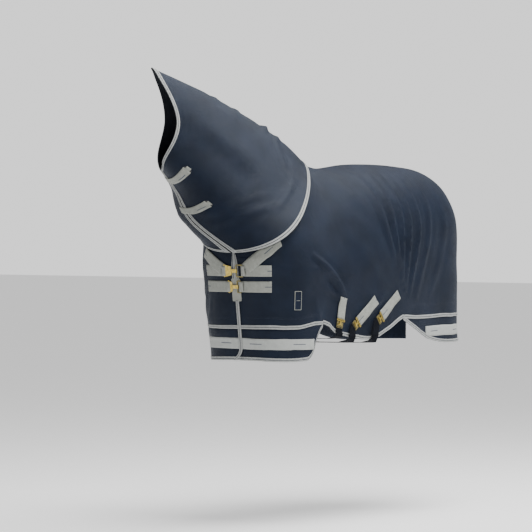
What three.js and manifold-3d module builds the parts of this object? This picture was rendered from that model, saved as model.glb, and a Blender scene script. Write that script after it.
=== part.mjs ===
// Turnout rug with a fitted neck cover, in the shape it takes on a standing horse.
// Millimetres, +Z up. The horse faces -X, its near (left) side is -Y, and its neck
// turns towards its far side. The origin is where the rug rests on the withers.
import * as THREE from 'three';
import { mergeVertices } from 'three/addons/utils/BufferGeometryUtils.js';
import Module from 'manifold-3d';

const wasm = await Module();
wasm.setup();

// Overall form of the rug on the horse
const chestX = -555;
const rumpX = 1010;
const chestRound = 330;
const rumpRound = 330;
const chestPower = 2.8;
const rumpPower = 2.6;
const shoulderHalf = 298;
const barrelHalf = 325;
const hipHalf = 300;
const dockX = rumpX - 105;
const frontHem = -890;
const rearHem = -842;
const frontSkirtDepth = 148;
const rearSkirtDepth = 130;
const bellyDip = 82;
const chestTuck = 55;
const tailGap = 222;

// Where the skirts end along the side
const frontSkirtEndX = -272;
const frontSkirtSlant = 100;
const rearSkirtStartX = 333;
const rearSkirtSweep = 330;

// Fabric layers, counted inwards from the outer face
const seat = 0.4;
const halfSeam = 0.7;
const shellThick = 1.8;
const fillThick = 8;
const liningThick = 1.4;
const neckLiningThick = 3;

// Webbing, tapes and bindings
const webWidth = 50;
const webThick = 2;
const bindWidth = 17;
const bindThick = 1.2;
const bandInset = 53;

// Chest closures, belly straps and neck cover
const upperClosureZ = -482;
const lowerClosureZ = -554;
const closureTapeEnd = 0.322;
const diagonals = { left: { end: 0.402, rise: 130 }, right: { end: 0.34, rise: 84 } };
const tabLength = 104;
const clipHeight = webWidth + 8;
const strapDrop = 98;
const strapSpots = [
  { name: 'front', topX: -126, bottomX: -147, topZ: -608 },
  { name: 'middle', topX: 108, bottomX: -22, topZ: -622 },
  { name: 'rear', topX: 291, bottomX: 150, topZ: -602 },
];
const throatStraps = [
  { name: 'upper', startU: 0.42, endU: 0.83, endPsi: 1.0 },
  { name: 'lower', startU: 1.66, endU: 1.68, endPsi: 0.66 },
];
const throatStrapWidth = 48;
const neckOverlap = 20.3;

const NEAR = -1;
const FAR = 1;

const material = (color, roughness, metalness = 0) =>
  new THREE.MeshStandardMaterial({ color, roughness, metalness });
const navy = () => material(0x232c42, 0.6);
const black = () => material(0x101116, 0.8);
const silver = () => material(0xb4b6b2, 0.55);
const reflective = () => material(0xc4c8c8, 0.35);
const wadding = () => material(0xe6e6e2, 0.95);
const brass = () => material(0xb9964a, 0.3, 1);

// ---------------------------------------------------------------- curves

const mix = (a, b, t) => a + (b - a) * t;

const spread = (from, to, steps) =>
  Array.from({ length: steps + 1 }, (_, i) => mix(from, to, i / steps));

// Smooth value at t through a list of [key, value] stops
function smooth(stops, t) {
  const last = stops.length - 1;
  const at = Math.min(Math.max(t, stops[0][0]), stops[last][0]);
  let i = 0;
  while (i < last - 1 && at > stops[i + 1][0]) i += 1;
  const slope = (k) => {
    const before = stops[Math.max(k - 1, 0)];
    const after = stops[Math.min(k + 1, last)];
    return (after[1] - before[1]) / (after[0] - before[0]);
  };
  const width = stops[i + 1][0] - stops[i][0];
  const u = (at - stops[i][0]) / width;
  const lift = (3 - 2 * u) * u * u;
  return mix(stops[i][1], stops[i + 1][1], lift)
    + width * u * (1 - u) * ((1 - u) * slope(i) - u * slope(i + 1));
}

// ---------------------------------------------------------------- neck

// Rings of the neck cover from the head to the shoulders: the crest point, the throat
// point, the half width, the way the neck faces there and how much the crest narrows
const rings = [
  { crest: [-690, 375, 440], throat: [-655, 345, -25], half: 120, turn: 45, narrow: 0.25 },
  { crest: [-455, 215, 318], throat: [-610, 290, -130], half: 150, turn: 30, narrow: 0.35 },
  { crest: [-220, 50, 148], throat: [-605, 205, -255], half: 185, turn: 12, narrow: 0.4 },
  { crest: [-62, 0, 16], throat: [-577, 0, -400], half: 228, turn: 0, narrow: 0.45 },
];
const ringPower = 2.2;
const neckHemU = rings.length - 1;
const neckFootU = neckHemU - 0.03;
const facingTopU = neckHemU - 0.42;

const power = (value, exponent) => Math.sign(value) * Math.abs(value) ** exponent;

function ringPoint(ring, psi, side) {
  const crest = new THREE.Vector3(...ring.crest);
  const throat = new THREE.Vector3(...ring.throat);
  const heading = THREE.MathUtils.degToRad(ring.turn);
  const out = new THREE.Vector3(Math.sin(heading), Math.cos(heading), 0).multiplyScalar(side);
  const along = power(Math.cos(psi), 2 / ringPower);
  const across = Math.max(Math.sin(psi), 0) ** (2 / ringPower);
  const wide = ring.half * across * (1 + ring.narrow * along);
  return crest.clone().add(throat).multiplyScalar(0.5)
    .addScaledVector(throat.sub(crest), along / 2)
    .addScaledVector(out, wide);
}

// Neck surface: u runs from the head (0) to the shoulder hem, psi from throat to crest
function neck(u, psi, side) {
  const points = rings.map((ring) => ringPoint(ring, psi, side));
  const axis = (key) => smooth(points.map((p, i) => [i, p[key]]), u);
  return new THREE.Vector3(axis('x'), axis('y'), axis('z'));
}

const neckCore = (u) => neck(u, 0, NEAR).add(neck(u, Math.PI, NEAR)).multiplyScalar(0.5);

// ---------------------------------------------------------------- trunk

const frontTurn = 0.3 * Math.PI;
const withersTurn = 0.36 * Math.PI;
const rearTurn = 0.72 * Math.PI;
const tailTurn = Math.PI - (Math.PI - rearTurn)
  * Math.asin((tailGap / 2 / hipHalf) ** (rumpPower / 2)) / (Math.PI / 2);
const frontSideX = chestX + chestRound;
const rearSideX = rumpX - rumpRound;

const girth = [[frontSideX, shoulderHalf], [250, barrelHalf], [rearSideX, hipHalf]];
const topLine = [
  [-80, 14],
  [60, -14],
  [308, 6],
  [dockX - 425, 9],
  [dockX - 265, 4],
  [dockX - 165, -8],
  [dockX, -85],
];
const crown = [[0, 1.2], [0.3, 1.3], [0.36, 1.5], [0.45, 2.05], [0.75, 2.25], [1, 2.05]];
const widest = [[0, -470], [0.25, -480], [0.5, -500], [0.75, -340], [1, -400]];

// Outline of the rug seen from above: turn 0 at the chest, PI at the tail
function outline(turn, inset) {
  const rounded = (share, reach, half, exponent) => {
    const a = share * Math.PI / 2;
    return [
      (reach - inset) * Math.max(Math.cos(a), 0) ** (2 / exponent),
      (half - inset) * Math.max(Math.sin(a), 0) ** (2 / exponent),
    ];
  };
  if (turn < frontTurn) {
    const [x, y] = rounded(turn / frontTurn, chestRound, shoulderHalf, chestPower);
    return [frontSideX - x, y];
  }
  if (turn > rearTurn) {
    const share = (Math.PI - turn) / (Math.PI - rearTurn);
    const [x, y] = rounded(share, rumpRound, hipHalf, rumpPower);
    return [rearSideX + x, y];
  }
  const x = mix(frontSideX, rearSideX, (turn - frontTurn) / (rearTurn - frontTurn));
  return [x, smooth(girth, x) - inset];
}

// Turn of the column that stands at x on the side or the rounded ends
function turnAt(x) {
  if (x < frontSideX) {
    const c = ((frontSideX - x) / chestRound) ** (chestPower / 2);
    return frontTurn * Math.acos(Math.min(c, 1)) / (Math.PI / 2);
  }
  if (x > rearSideX) {
    const c = ((x - rearSideX) / rumpRound) ** (rumpPower / 2);
    return Math.PI - (Math.PI - rearTurn) * Math.acos(Math.min(c, 1)) / (Math.PI / 2);
  }
  return mix(frontTurn, rearTurn, (x - frontSideX) / (rearSideX - frontSideX));
}

const wideZ = (turn) => smooth(widest, turn / Math.PI);
const fullHem = (turn) => smooth([[0, frontHem], [0.6, frontHem], [1, rearHem]], turn / Math.PI);

// Lower edge of the body panels: level where a skirt hangs from it, dipping at the belly
const frontSeam = frontHem + frontSkirtDepth;
const rearSeam = rearHem + rearSkirtDepth;
const bellySpan = rearSkirtStartX - frontSkirtEndX;
const bodyHemStops = [
  [0, frontSeam],
  [turnAt(frontSkirtEndX) * 0.7, frontSeam + 4],
  [turnAt(frontSkirtEndX), frontSeam + 20],
  [turnAt(frontSkirtEndX + bellySpan * 0.16), rearSeam - bellyDip * 0.66],
  [turnAt(frontSkirtEndX + bellySpan * 0.4), rearSeam - bellyDip],
  [turnAt(frontSkirtEndX + bellySpan * 0.6), rearSeam - bellyDip - 8],
  [turnAt(frontSkirtEndX + bellySpan * 0.8), rearSeam - bellyDip * 0.6],
  [turnAt(rearSkirtStartX), rearSeam - 2],
  [turnAt(rearSkirtStartX + 60), rearSeam],
  [Math.PI, rearSeam],
];
const bodyHem = (turn) => smooth(bodyHemStops, turn);

// Place round the neck where the column at a turn begins
const psiAt = (turn) => Math.PI * (Math.max(turn, 0) / withersTurn) ** 1.3;

// Top of a column: on the neck's foot in front of the withers, on the spine behind them
function columnTop(turn, side) {
  if (turn < withersTurn) {
    const psi = psiAt(turn);
    const inward = crossNormal((u, p) => neck(u, p, side), neckFootU, psi);
    return neck(neckFootU, psi, side).addScaledVector(inward, side * neckOverlap);
  }
  const crest = neck(neckFootU, Math.PI, side);
  const share = Math.min((turn - withersTurn) / (tailTurn - withersTurn), 1);
  const x = mix(crest.x, dockX, share);
  const settle = Math.max(1 - share * 6, 0);
  return new THREE.Vector3(x, crest.y * settle + side * halfSeam, smooth(topLine, x));
}

// Trunk surface: down runs 0 to 1 from the top to the widest level, then 1 to 2 to the hem
function trunk(turn, down, side) {
  const top = columnTop(turn, side);
  const [wideX, wideY] = outline(turn, 0);
  const level = wideZ(turn);
  if (down <= 1) {
    const roundness = 2 / smooth(crown, turn / Math.PI);
    const a = Math.max(down, 0) * Math.PI / 2;
    const out = Math.sin(a) ** roundness;
    const high = Math.max(Math.cos(a), 0) ** roundness;
    return new THREE.Vector3(
      mix(top.x, wideX, out),
      mix(top.y, side * wideY, out),
      mix(level, top.z, high),
    );
  }
  const tuck = smooth([[0, chestTuck], [0.2, 30], [0.5, 0], [1, 0]], turn / Math.PI);
  const [hemX, hemY] = outline(turn, tuck);
  const fall = down - 1;
  return new THREE.Vector3(
    mix(wideX, hemX, fall),
    side * mix(wideY, hemY, fall),
    mix(level, fullHem(turn), fall),
  );
}

const trunkCore = new THREE.Vector3(200, 0, -450);

// The trunk surface at a height instead of a share
function trunkAt(turn, z, side) {
  const level = wideZ(turn);
  if (z <= level) return trunk(turn, 1 + (level - z) / (level - fullHem(turn)), side);
  const top = columnTop(turn, side).z;
  const high = Math.min((z - level) / (top - level), 1);
  const a = Math.acos(high ** (smooth(crown, turn / Math.PI) / 2));
  return trunk(turn, a / (Math.PI / 2), side);
}

// ---------------------------------------------------------------- solids

// Unit normal of a surface, its first parameter crossed with its second
function crossNormal(surface, a, b) {
  const step = 0.004;
  const along = surface(a + step, b).sub(surface(a - step, b));
  const across = surface(a, b + step).sub(surface(a, b - step));
  return along.cross(across).normalize();
}

// 1 where that normal points away from the core, -1 where it points to it
const facing = (surface, a, b, core) =>
  Math.sign(crossNormal(surface, a, b).dot(surface(a, b).sub(core)));

function trunkNormal(turn, z, side) {
  const surface = (a, b) => trunkAt(a, b, side);
  return crossNormal(surface, turn, z).multiplyScalar(facing(surface, turn, z, trunkCore));
}

function closedGeometry(positions, triangles) {
  let volume = 0;
  const corner = (i) => new THREE.Vector3().fromArray(positions, i * 3);
  for (let i = 0; i < triangles.length; i += 3) {
    const [a, b, c] = triangles.slice(i, i + 3).map(corner);
    volume += a.dot(b.cross(c));
  }
  const geometry = new THREE.BufferGeometry();
  geometry.setAttribute('position', new THREE.Float32BufferAttribute(positions, 3));
  geometry.setIndex(volume < 0 ? triangles.reverse() : triangles);
  return geometry;
}

// Closed sheet between two distances out from a surface, over a grid of its parameters
function sheet({ surface, core, across, down, outer, inner }) {
  const positions = [];
  const middle = [across[across.length >> 1], down[down.length >> 1]];
  const sign = facing(surface, ...middle, core instanceof THREE.Vector3 ? core : core(...middle));
  for (const distance of [outer, inner]) {
    for (const b of down) {
      for (const a of across) {
        const normal = crossNormal(surface, a, b);
        positions.push(...surface(a, b).addScaledVector(normal, sign * distance).toArray());
      }
    }
  }
  const wide = across.length;
  const count = wide * down.length;
  const triangles = [];
  const quad = (a, b, c, d) => triangles.push(a, b, c, a, c, d);
  const corner = (i) => new THREE.Vector3().fromArray(positions, i * 3);
  const gap = (i, j) => corner(i).distanceTo(corner(j));
  for (let r = 0; r < down.length - 1; r += 1) {
    for (let c = 0; c < wide - 1; c += 1) {
      const i = r * wide + c;
      const front = [i, i + 1, i + 1 + wide, i + wide];
      const back = [i, i + wide, i + 1 + wide, i + 1].map((k) => k + count);
      if (gap(front[1], front[3]) < gap(front[0], front[2])) {
        front.push(front.shift());
        back.push(back.shift());
      }
      quad(...front);
      quad(...back);
    }
  }
  for (let c = 0; c < wide - 1; c += 1) {
    const i = count - wide + c;
    quad(c, c + count, c + 1 + count, c + 1);
    quad(i, i + 1, i + 1 + count, i + count);
  }
  for (let r = 0; r < down.length - 1; r += 1) {
    const i = r * wide;
    const j = i + wide - 1;
    quad(i, i + wide, i + wide + count, i + count);
    quad(j, j + count, j + wide + count, j + wide);
  }
  return closedGeometry(positions, triangles);
}

const rug = new THREE.Group();

function add(name, geometry, look, parent = rug) {
  const mesh = new THREE.Mesh(geometry, look);
  mesh.name = name;
  parent.add(mesh);
  return mesh;
}

const sides = [['left', NEAR], ['right', FAR]];

// ---------------------------------------------------------------- body panels

const openTurn = 1e-4;
const skirtEndTurn = turnAt(frontSkirtEndX);
const skirtStartTurn = turnAt(rearSkirtStartX);
const cornerTurn = skirtEndTurn - 0.09;
const bodyColumns = [
  ...spread(openTurn, cornerTurn, 8),
  ...spread(cornerTurn, skirtEndTurn, 3).slice(1),
  ...spread(skirtEndTurn, skirtStartTurn, 6).slice(1),
  ...spread(skirtStartTurn, tailTurn, 8).slice(1),
];
const bodyRows = [0.002, 0.2, 0.4, 0.6, 0.8, 1, 1.5, 2];

// Body surface: down runs 0 to 1 to the widest level, then 1 to 2 to the body's own hem
const bodySurface = (side) => (turn, down) => {
  if (down <= 1) return trunk(turn, down, side);
  return trunkAt(turn, mix(wideZ(turn), bodyHem(turn), down - 1), side);
};

function layer(surface, core, across, down, depth, thickness) {
  return sheet({ surface, core, across, down, outer: -depth, inner: -depth - thickness });
}

const fillDepth = shellThick + seat;
const liningDepth = fillDepth + fillThick + seat;
const sewnLow = 0.3;
const tapeLow = seat + 0.7;
const bandLow = seat + 0.4;
const flapLow = 2.4;
const strapLow = tapeLow + webThick + 0.6;

for (const [label, side] of sides) {
  const surface = bodySurface(side);
  const part = (depth, thickness) =>
    layer(surface, trunkCore, bodyColumns, bodyRows, depth, thickness);
  add(`outer_shell_${label}`, part(0, shellThick), navy());
  add(`insulation_${label}`, part(fillDepth, fillThick), wadding());
  add(`lining_${label}`, part(liningDepth, liningThick), black());
}

// Facing that carries on under the neck cover, from the body's neckline up the neck
const facingThick = 3;
const facingEndPsi = Math.PI - 0.02;
for (const [label, side] of sides) {
  add(`neck_facing_${label}`, sheet({
    surface: (psi, u) => neck(u, psi, side),
    core: (psi, u) => neckCore(u),
    across: [...bodyColumns.slice(1).map(psiAt).filter((psi) => psi < facingEndPsi), facingEndPsi],
    down: spread(facingTopU, neckFootU - 0.004, 2),
    outer: -neckOverlap,
    inner: -neckOverlap - facingThick,
  }), navy());
}

// ---------------------------------------------------------------- skirts

// A strip hanging between two heights that vary with the turn
const hanging = (side, top, bottom) => (turn, share) =>
  trunkAt(turn, mix(top(turn), bottom(turn), share), side);

const skirtGap = 1;
const skirtTop = (turn) => bodyHem(turn) - skirtGap;

const frontSkirtBottomStops = [
  [0, frontHem],
  [turnAt(frontSkirtEndX - frontSkirtSlant), frontHem],
  [turnAt(frontSkirtEndX - frontSkirtSlant * 0.6), frontHem + 34],
  [turnAt(frontSkirtEndX - frontSkirtSlant * 0.3), frontHem + 108],
  [skirtEndTurn, frontSeam + 6],
];
const frontSkirtBottom = (turn) => smooth(frontSkirtBottomStops, turn);
const rearSkirtBottomStops = [
  [skirtStartTurn, rearSeam - 9],
  [turnAt(rearSkirtStartX + rearSkirtSweep * 0.36), mix(rearSeam, rearHem, 0.44)],
  [turnAt(rearSkirtStartX + rearSkirtSweep * 0.68), mix(rearSeam, rearHem, 0.78)],
  [turnAt(rearSkirtStartX + rearSkirtSweep), rearHem + 7],
  [turnAt(rearSkirtStartX + rearSkirtSweep * 1.25), rearHem],
  [Math.PI, rearHem],
];
const rearSkirtBottom = (turn) => smooth(rearSkirtBottomStops, turn);

const frontColumns = bodyColumns.filter((turn) => turn <= skirtEndTurn);
const rearColumns = bodyColumns.filter((turn) => turn >= skirtStartTurn);
const skirtLayers = shellThick + seat + liningThick;

function skirtStrip(side, columns, top, bottom, outer, inner) {
  return sheet({
    surface: hanging(side, top, bottom),
    core: trunkCore,
    across: columns,
    down: [0, 1],
    outer,
    inner,
  });
}

for (const [label, side] of sides) {
  const strip = (columns, top, bottom, outer, inner) =>
    skirtStrip(side, columns, top, bottom, outer, inner);
  const bindingTop = (bottom) => (turn) => bottom(turn) + bindWidth;

  add(`front_skirt_${label}`,
    strip(frontColumns, skirtTop, frontSkirtBottom, 0, -skirtLayers), navy());
  add(`rear_skirt_${label}`,
    strip(rearColumns, skirtTop, rearSkirtBottom, 0, -skirtLayers), navy());

  const bandColumns = frontColumns.filter((turn) => frontSkirtBottom(turn) < frontHem + 20);
  const rearBandColumns = rearColumns.filter((turn) => rearSkirtBottom(turn) < rearHem + 20);
  const bandTop = (hem, inset) => () => hem + inset + webWidth;
  const bandBottom = (hem, inset) => () => hem + inset;
  const band = (columns, hem, inset) =>
    strip(columns, bandTop(hem, inset), bandBottom(hem, inset), bandLow + bindThick, bandLow);
  add(`reflective_band_front_${label}`, band(bandColumns, frontHem, bandInset), reflective());
  add(`reflective_band_rear_${label}`, band(rearBandColumns, rearHem, bandInset - 15),
    reflective());

  const bind = (name, columns, bottom) => add(`${name}_${label}`,
    strip(columns, bindingTop(bottom), bottom, seat + bindThick, seat), silver());
  bind('front_skirt_binding', frontColumns.slice(0, -2), frontSkirtBottom);
  bind('rear_skirt_binding', rearColumns.slice(1), rearSkirtBottom);
  bind('belly_binding',
    bodyColumns.filter((turn) => turn >= skirtEndTurn && turn <= skirtStartTurn), bodyHem);
}

// ---------------------------------------------------------------- chest edges and closures

// Upright binding on each front edge, between the neckline and the skirt seam
for (const [label, side] of sides) {
  add(`chest_edge_binding_${label}`, sheet({
    surface: (turn, z) => trunkAt(turn, z, side),
    core: trunkCore,
    across: [openTurn, 0.012],
    down: spread(lowerClosureZ - clipHeight / 2 - tabLength * 0.4, frontSeam + 2, 2),
    outer: seat + bindThick,
    inner: seat,
  }), silver());
}

// A straight tape between two places on the trunk, given as [turn, height]; its far end
// may stand further off the trunk than its start
function bodyTape(side, from, to, width, steps, low, lift = 0) {
  const middle = [(from[0] + to[0]) / 2, (from[1] + to[1]) / 2];
  const a = trunkAt(middle[0] - 0.02, middle[1], side);
  const arc = trunkAt(middle[0] + 0.02, middle[1], side).distanceTo(a) / 0.04;
  const run = new THREE.Vector2((to[0] - from[0]) * arc, to[1] - from[1]).normalize();
  const surface = (share, offset) => {
    const turn = mix(from[0], to[0], share) - offset * run.y / arc;
    const z = mix(from[1], to[1], share) + offset * run.x;
    return trunkAt(turn, z, side).addScaledVector(trunkNormal(turn, z, side), lift * share);
  };
  return sheet({
    surface,
    core: trunkCore,
    across: spread(0, 1, steps),
    down: spread(-width / 2, width / 2, 2),
    outer: low + webThick,
    inner: low,
  });
}

const turnOf = (distance) => {
  const share = Math.asin((distance / shoulderHalf) ** (chestPower / 2)) / (Math.PI / 2);
  return frontTurn * share;
};

// Clips at the centre of the chest: a ring on the near straps and a hook on the far ones
const clips = [
  { name: 'upper', z: upperClosureZ, ringWide: 40, plateWide: 42 },
  { name: 'lower', z: lowerClosureZ, ringWide: 24, plateWide: 22 },
];
const ringStart = 8;
const hookStart = 18;
const clipLow = 3.4;
const clipThick = 4;
const runClear = 0.4;
const cornerReach = 16;
const swingClear = 2.2;

for (const [label, side] of sides) {
  const reach = (clip) => (side === NEAR
    ? ringStart + clip.ringWide + seat
    : hookStart + clip.plateWide + swingClear);
  const level = (clip) => bodyTape(side,
    [turnOf(reach(clip)), clip.z], [closureTapeEnd, clip.z], webWidth, 10, tapeLow);
  add(`chest_tape_upper_${label}`, level(clips[0]), silver());
  add(`chest_strap_lower_${label}`, level(clips[1]), silver());
  add(`chest_strap_upper_${label}`,
    bodyTape(side, [turnOf(reach(clips[0]) + cornerReach), upperClosureZ + cornerReach * 0.6],
      [diagonals[label].end, upperClosureZ + diagonals[label].rise], webWidth, 10, strapLow),
    silver());
}

// ---------------------------------------------------------------- brass

function toSolid(geometry) {
  const bare = geometry.clone();
  bare.deleteAttribute('normal');
  bare.deleteAttribute('uv');
  const merged = mergeVertices(bare, 1e-4);
  return new wasm.Manifold(new wasm.Mesh({
    numProp: 3,
    vertProperties: new Float32Array(merged.getAttribute('position').array),
    triVerts: new Uint32Array(merged.getIndex().array),
  }));
}

function joined(...geometries) {
  const solid = geometries.map(toSolid).reduce((all, next) => all.add(next));
  const { vertProperties, triVerts } = solid.getMesh();
  const geometry = new THREE.BufferGeometry();
  geometry.setAttribute('position', new THREE.BufferAttribute(vertProperties, 3));
  geometry.setIndex(new THREE.BufferAttribute(triVerts, 1));
  return geometry;
}

// Rounded rectangle centred on a point
function roundedRectangle(target, x, y, wide, high, radius) {
  const left = x - wide / 2;
  const right = x + wide / 2;
  const bottom = y - high / 2;
  const top = y + high / 2;
  target.moveTo(left + radius, bottom);
  target.lineTo(right - radius, bottom);
  target.absarc(right - radius, bottom + radius, radius, -Math.PI / 2, 0);
  target.lineTo(right, top - radius);
  target.absarc(right - radius, top - radius, radius, 0, Math.PI / 2);
  target.lineTo(left + radius, top);
  target.absarc(left + radius, top - radius, radius, Math.PI / 2, Math.PI);
  target.lineTo(left, bottom + radius);
  target.absarc(left + radius, bottom + radius, radius, Math.PI, Math.PI * 1.5);
  return target;
}

const plate = (shape, low, thick) =>
  new THREE.ExtrudeGeometry(shape, { depth: thick, bevelEnabled: false, curveSegments: 2 })
    .translate(0, 0, low);

// Group standing on the trunk: its x runs along the face, y up it and z out of it
function standOn(point, normal, up) {
  const group = new THREE.Group();
  const x = up.clone().cross(normal).normalize();
  const y = normal.clone().cross(x);
  group.matrix.makeBasis(x, y, normal).setPosition(point);
  group.matrix.decompose(group.position, group.quaternion, group.scale);
  rug.add(group);
  return group;
}

const chestNormal = trunkNormal(0, lowerClosureZ, NEAR).setY(0).normalize();
for (const clip of clips) {
  const place = trunkAt(0, clip.z, NEAR);
  const group = standOn(place, chestNormal, new THREE.Vector3(0, 0, 1));
  const ringMiddle = ringStart + clip.ringWide / 2;
  const bar = 5;
  const ring = roundedRectangle(new THREE.Shape(), ringMiddle, 0, clip.ringWide, clipHeight, 5);
  ring.holes.push(roundedRectangle(new THREE.Path(), ringMiddle, 0,
    clip.ringWide - 2 * bar, clipHeight - 2 * bar, 2));
  add(`chest_ring_${clip.name}`, plate(ring, clipLow, clipThick), brass(), group);

  const farEnd = -hookStart - clip.plateWide;
  const body = new THREE.Shape();
  body.moveTo(farEnd, -clipHeight / 2);
  body.lineTo(-hookStart, -clipHeight * 0.34);
  body.lineTo(-hookStart, clipHeight * 0.34);
  body.lineTo(farEnd, clipHeight / 2);
  body.holes.push(roundedRectangle(new THREE.Path(), farEnd + 7, 0, 6, webWidth - 2, 2));
  const nose = ringStart + bar + runClear;
  const over = clipLow + clipThick + runClear;
  const tongueThick = 3;
  const tongue = new THREE.Shape();
  tongue.moveTo(-hookStart - 4, clipLow + 0.5);
  tongue.lineTo(-hookStart + 2, clipLow + 0.5);
  tongue.lineTo(-hookStart + 10, over);
  tongue.lineTo(nose, over);
  tongue.lineTo(nose, clipLow + 0.6);
  tongue.lineTo(nose + tongueThick, clipLow + 0.6);
  tongue.lineTo(nose + tongueThick, over);
  tongue.quadraticCurveTo(nose + tongueThick, over + tongueThick, nose, over + tongueThick);
  tongue.lineTo(-hookStart + 8, over + tongueThick);
  tongue.lineTo(-hookStart - 4, clipLow + 2.5);
  const tongueWide = 16;
  const hookTongue = plate(tongue, -tongueWide / 2, tongueWide).rotateX(Math.PI / 2);
  add(`chest_hook_${clip.name}`, joined(plate(body, clipLow, 3), hookTongue), brass(), group);
}

// Hook-and-loop tab that closes the front edges behind the lower clip
{
  const middleZ = lowerClosureZ + clipHeight * 0.5 + 8 - tabLength / 2;
  const group = standOn(trunkAt(0, middleZ, NEAR), chestNormal, new THREE.Vector3(0, 0, 1));
  const tab = roundedRectangle(new THREE.Shape(), 0, 0, webWidth, tabLength, 6);
  add('chest_centre_tab', plate(tab, 0.5, 2), silver(), group);
}

// ---------------------------------------------------------------- belly straps

const plateLow = 2;
const plateThick = 2.2;
const tLow = plateLow + plateThick + runClear;
const tThick = 2.6;
const loopHigh = 10;
const shankLong = 18;
const tBar = 5;
const plateTop = 13;
const plateBottom = 41;

for (const spot of strapSpots) {
  const top = [turnAt(spot.topX), spot.topZ];
  const bottom = [turnAt(spot.bottomX), spot.topZ - strapDrop];
  add(`belly_strap_${spot.name}`,
    bodyTape(NEAR, top, bottom, webWidth, 3, sewnLow, tLow - sewnLow), silver());

  const normal = trunkNormal(...bottom, NEAR);
  const end = trunkAt(...bottom, NEAR);
  const up = trunkAt(...top, NEAR).sub(end).normalize();
  const group = standOn(end, normal, up);

  const loopMiddle = -loopHigh / 2 - runClear;
  const hook = new THREE.Shape();
  roundedRectangle(hook, 0, loopMiddle, webWidth + 4, loopHigh, 2);
  hook.holes.push(roundedRectangle(new THREE.Path(), 0, loopMiddle + 0.5, webWidth - 4, 3, 1));
  const shank = roundedRectangle(new THREE.Shape(), 0, -loopHigh - shankLong / 2, 8,
    shankLong, 1);
  const bar = roundedRectangle(new THREE.Shape(), 0, -loopHigh - shankLong + tBar / 2, 28,
    tBar, 1);
  add(`t_hook_${spot.name}`, joined(
    plate(hook, tLow, tThick),
    plate(shank, tLow, tThick),
    plate(bar, plateLow + 0.2, tLow + tThick - plateLow - 0.2),
  ), brass(), group);

  const slot = new THREE.Shape();
  roundedRectangle(slot, 0, -(plateTop + plateBottom) / 2, webWidth - 6,
    plateBottom - plateTop, 4);
  const barMiddle = -loopHigh - shankLong + tBar / 2;
  slot.holes.push(roundedRectangle(new THREE.Path(), 0, barMiddle, 29.4, tBar + 3, 1.5));
  slot.holes.push(roundedRectangle(new THREE.Path(), 0, -plateBottom + 4, 38, 3.4, 1.5));
  add(`slot_plate_${spot.name}`, plate(slot, plateLow, plateThick), brass(), group);

  // Strap from the slot plate under the belly to the inside of the far panel
  const lead = up.clone().negate();
  const start = end.clone().addScaledVector(lead, plateBottom + seat)
    .addScaledVector(normal, plateLow + webThick);
  const hem = bodyHem(turnAt(start.x));
  const ahead = lead.x / -lead.z;
  const fall = (z, y) => new THREE.Vector3(start.x + ahead * (start.z - z) * 0.3, y, z);
  const farTurn = turnAt(start.x);
  const inside = liningDepth + liningThick + seat * 2 + webThick / 2;
  const farSide = (z, extra = 0) => trunkAt(farTurn, z, FAR)
    .addScaledVector(trunkNormal(farTurn, z, FAR), -inside - extra);
  const route = new THREE.CatmullRomCurve3([
    start,
    start.clone().addScaledVector(lead, 12),
    fall(hem - 9, start.y - 4),
    fall(hem - 20, start.y + 22),
    fall(hem - 26, start.y * 0.5),
    fall(hem - 20, -start.y * 0.5),
    farSide(hem + 12, 45),
    farSide(hem + 50, 14),
    farSide(hem + 95, 5),
    farSide(hem + 120, 3.5),
    farSide(hem + 140, 2.5),
  ], false, 'centripetal');
  const clamp = (share) => Math.min(Math.max(share, 0), 1);
  const outOf = (share) => {
    const here = route.getPoint(clamp(share));
    const lateral = here.y / Math.abs(start.y);
    const nearShare = Math.max(-lateral, 0) ** 8;
    return new THREE.Vector3(normal.x * nearShare, power(lateral, 3), Math.abs(lateral) ** 8 - 1);
  };
  const strapWidth = (share) =>
    route.getTangent(clamp(share)).cross(outOf(share)).normalize();
  add(`under_belly_strap_${spot.name}`, sheet({
    surface: (share, offset) =>
      route.getPoint(clamp(share)).addScaledVector(strapWidth(share), offset),
    core: (share) => route.getPoint(clamp(share)).sub(outOf(share)),
    across: spread(0, 1, 18),
    down: [-webWidth / 2 + 4, webWidth / 2 - 4],
    outer: webThick / 2,
    inner: -webThick / 2,
  }), black());
}

// ---------------------------------------------------------------- tail flap and label

// The flap fans out from the dock over the gap between the rump panels
const flapOverlap = 0.03;
const flapBottom = -600;
const flapHalf = Math.PI - tailTurn;
const flapColumns = [-1 - flapOverlap / flapHalf, -1, -0.5, 0, 0.5, 1, 1 + flapOverlap / flapHalf];
const flapSurface = (across, down) => {
  const turn = Math.PI - Math.abs(across) * flapHalf;
  const side = across < 0 ? NEAR : FAR;
  if (down <= 1) return trunk(turn, down, side);
  return trunkAt(turn, mix(wideZ(turn), flapBottom, down - 1), side);
};
add('tail_flap', sheet({
  surface: flapSurface,
  core: trunkCore,
  across: flapColumns,
  down: [0.1, ...bodyRows.slice(1)],
  outer: flapLow + shellThick + liningThick,
  inner: flapLow,
}), navy());

const labelZ = -612;
const labelTurn = 0.628;
add('label_patch', bodyTape(NEAR, [labelTurn, labelZ + 44], [labelTurn, labelZ - 44],
  46, 2, tapeLow), silver());

// ---------------------------------------------------------------- neck cover

// How far the head end is cut back behind the jaw, round from throat to crest
const headCut = [[0, 0], [0.2, 0], [0.45, 0.33], [0.55, 0.37], [0.8, 0.1], [1, 0]];
const headEdge = (psi) => smooth(headCut, psi / Math.PI);
const neckAt = (side) => (psi, share) => neck(mix(headEdge(psi), neckHemU, share), psi, side);
const neckFrontPsi = 0.012;
const bindShare = 0.026;
const neckRows = [0, bindShare, ...spread(0.15, 0.85, 5), 1 - bindShare, 1];
const neckCrestPsi = Math.PI - 0.004;
const neckColumns = spread(neckFrontPsi, neckCrestPsi, 10);

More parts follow.
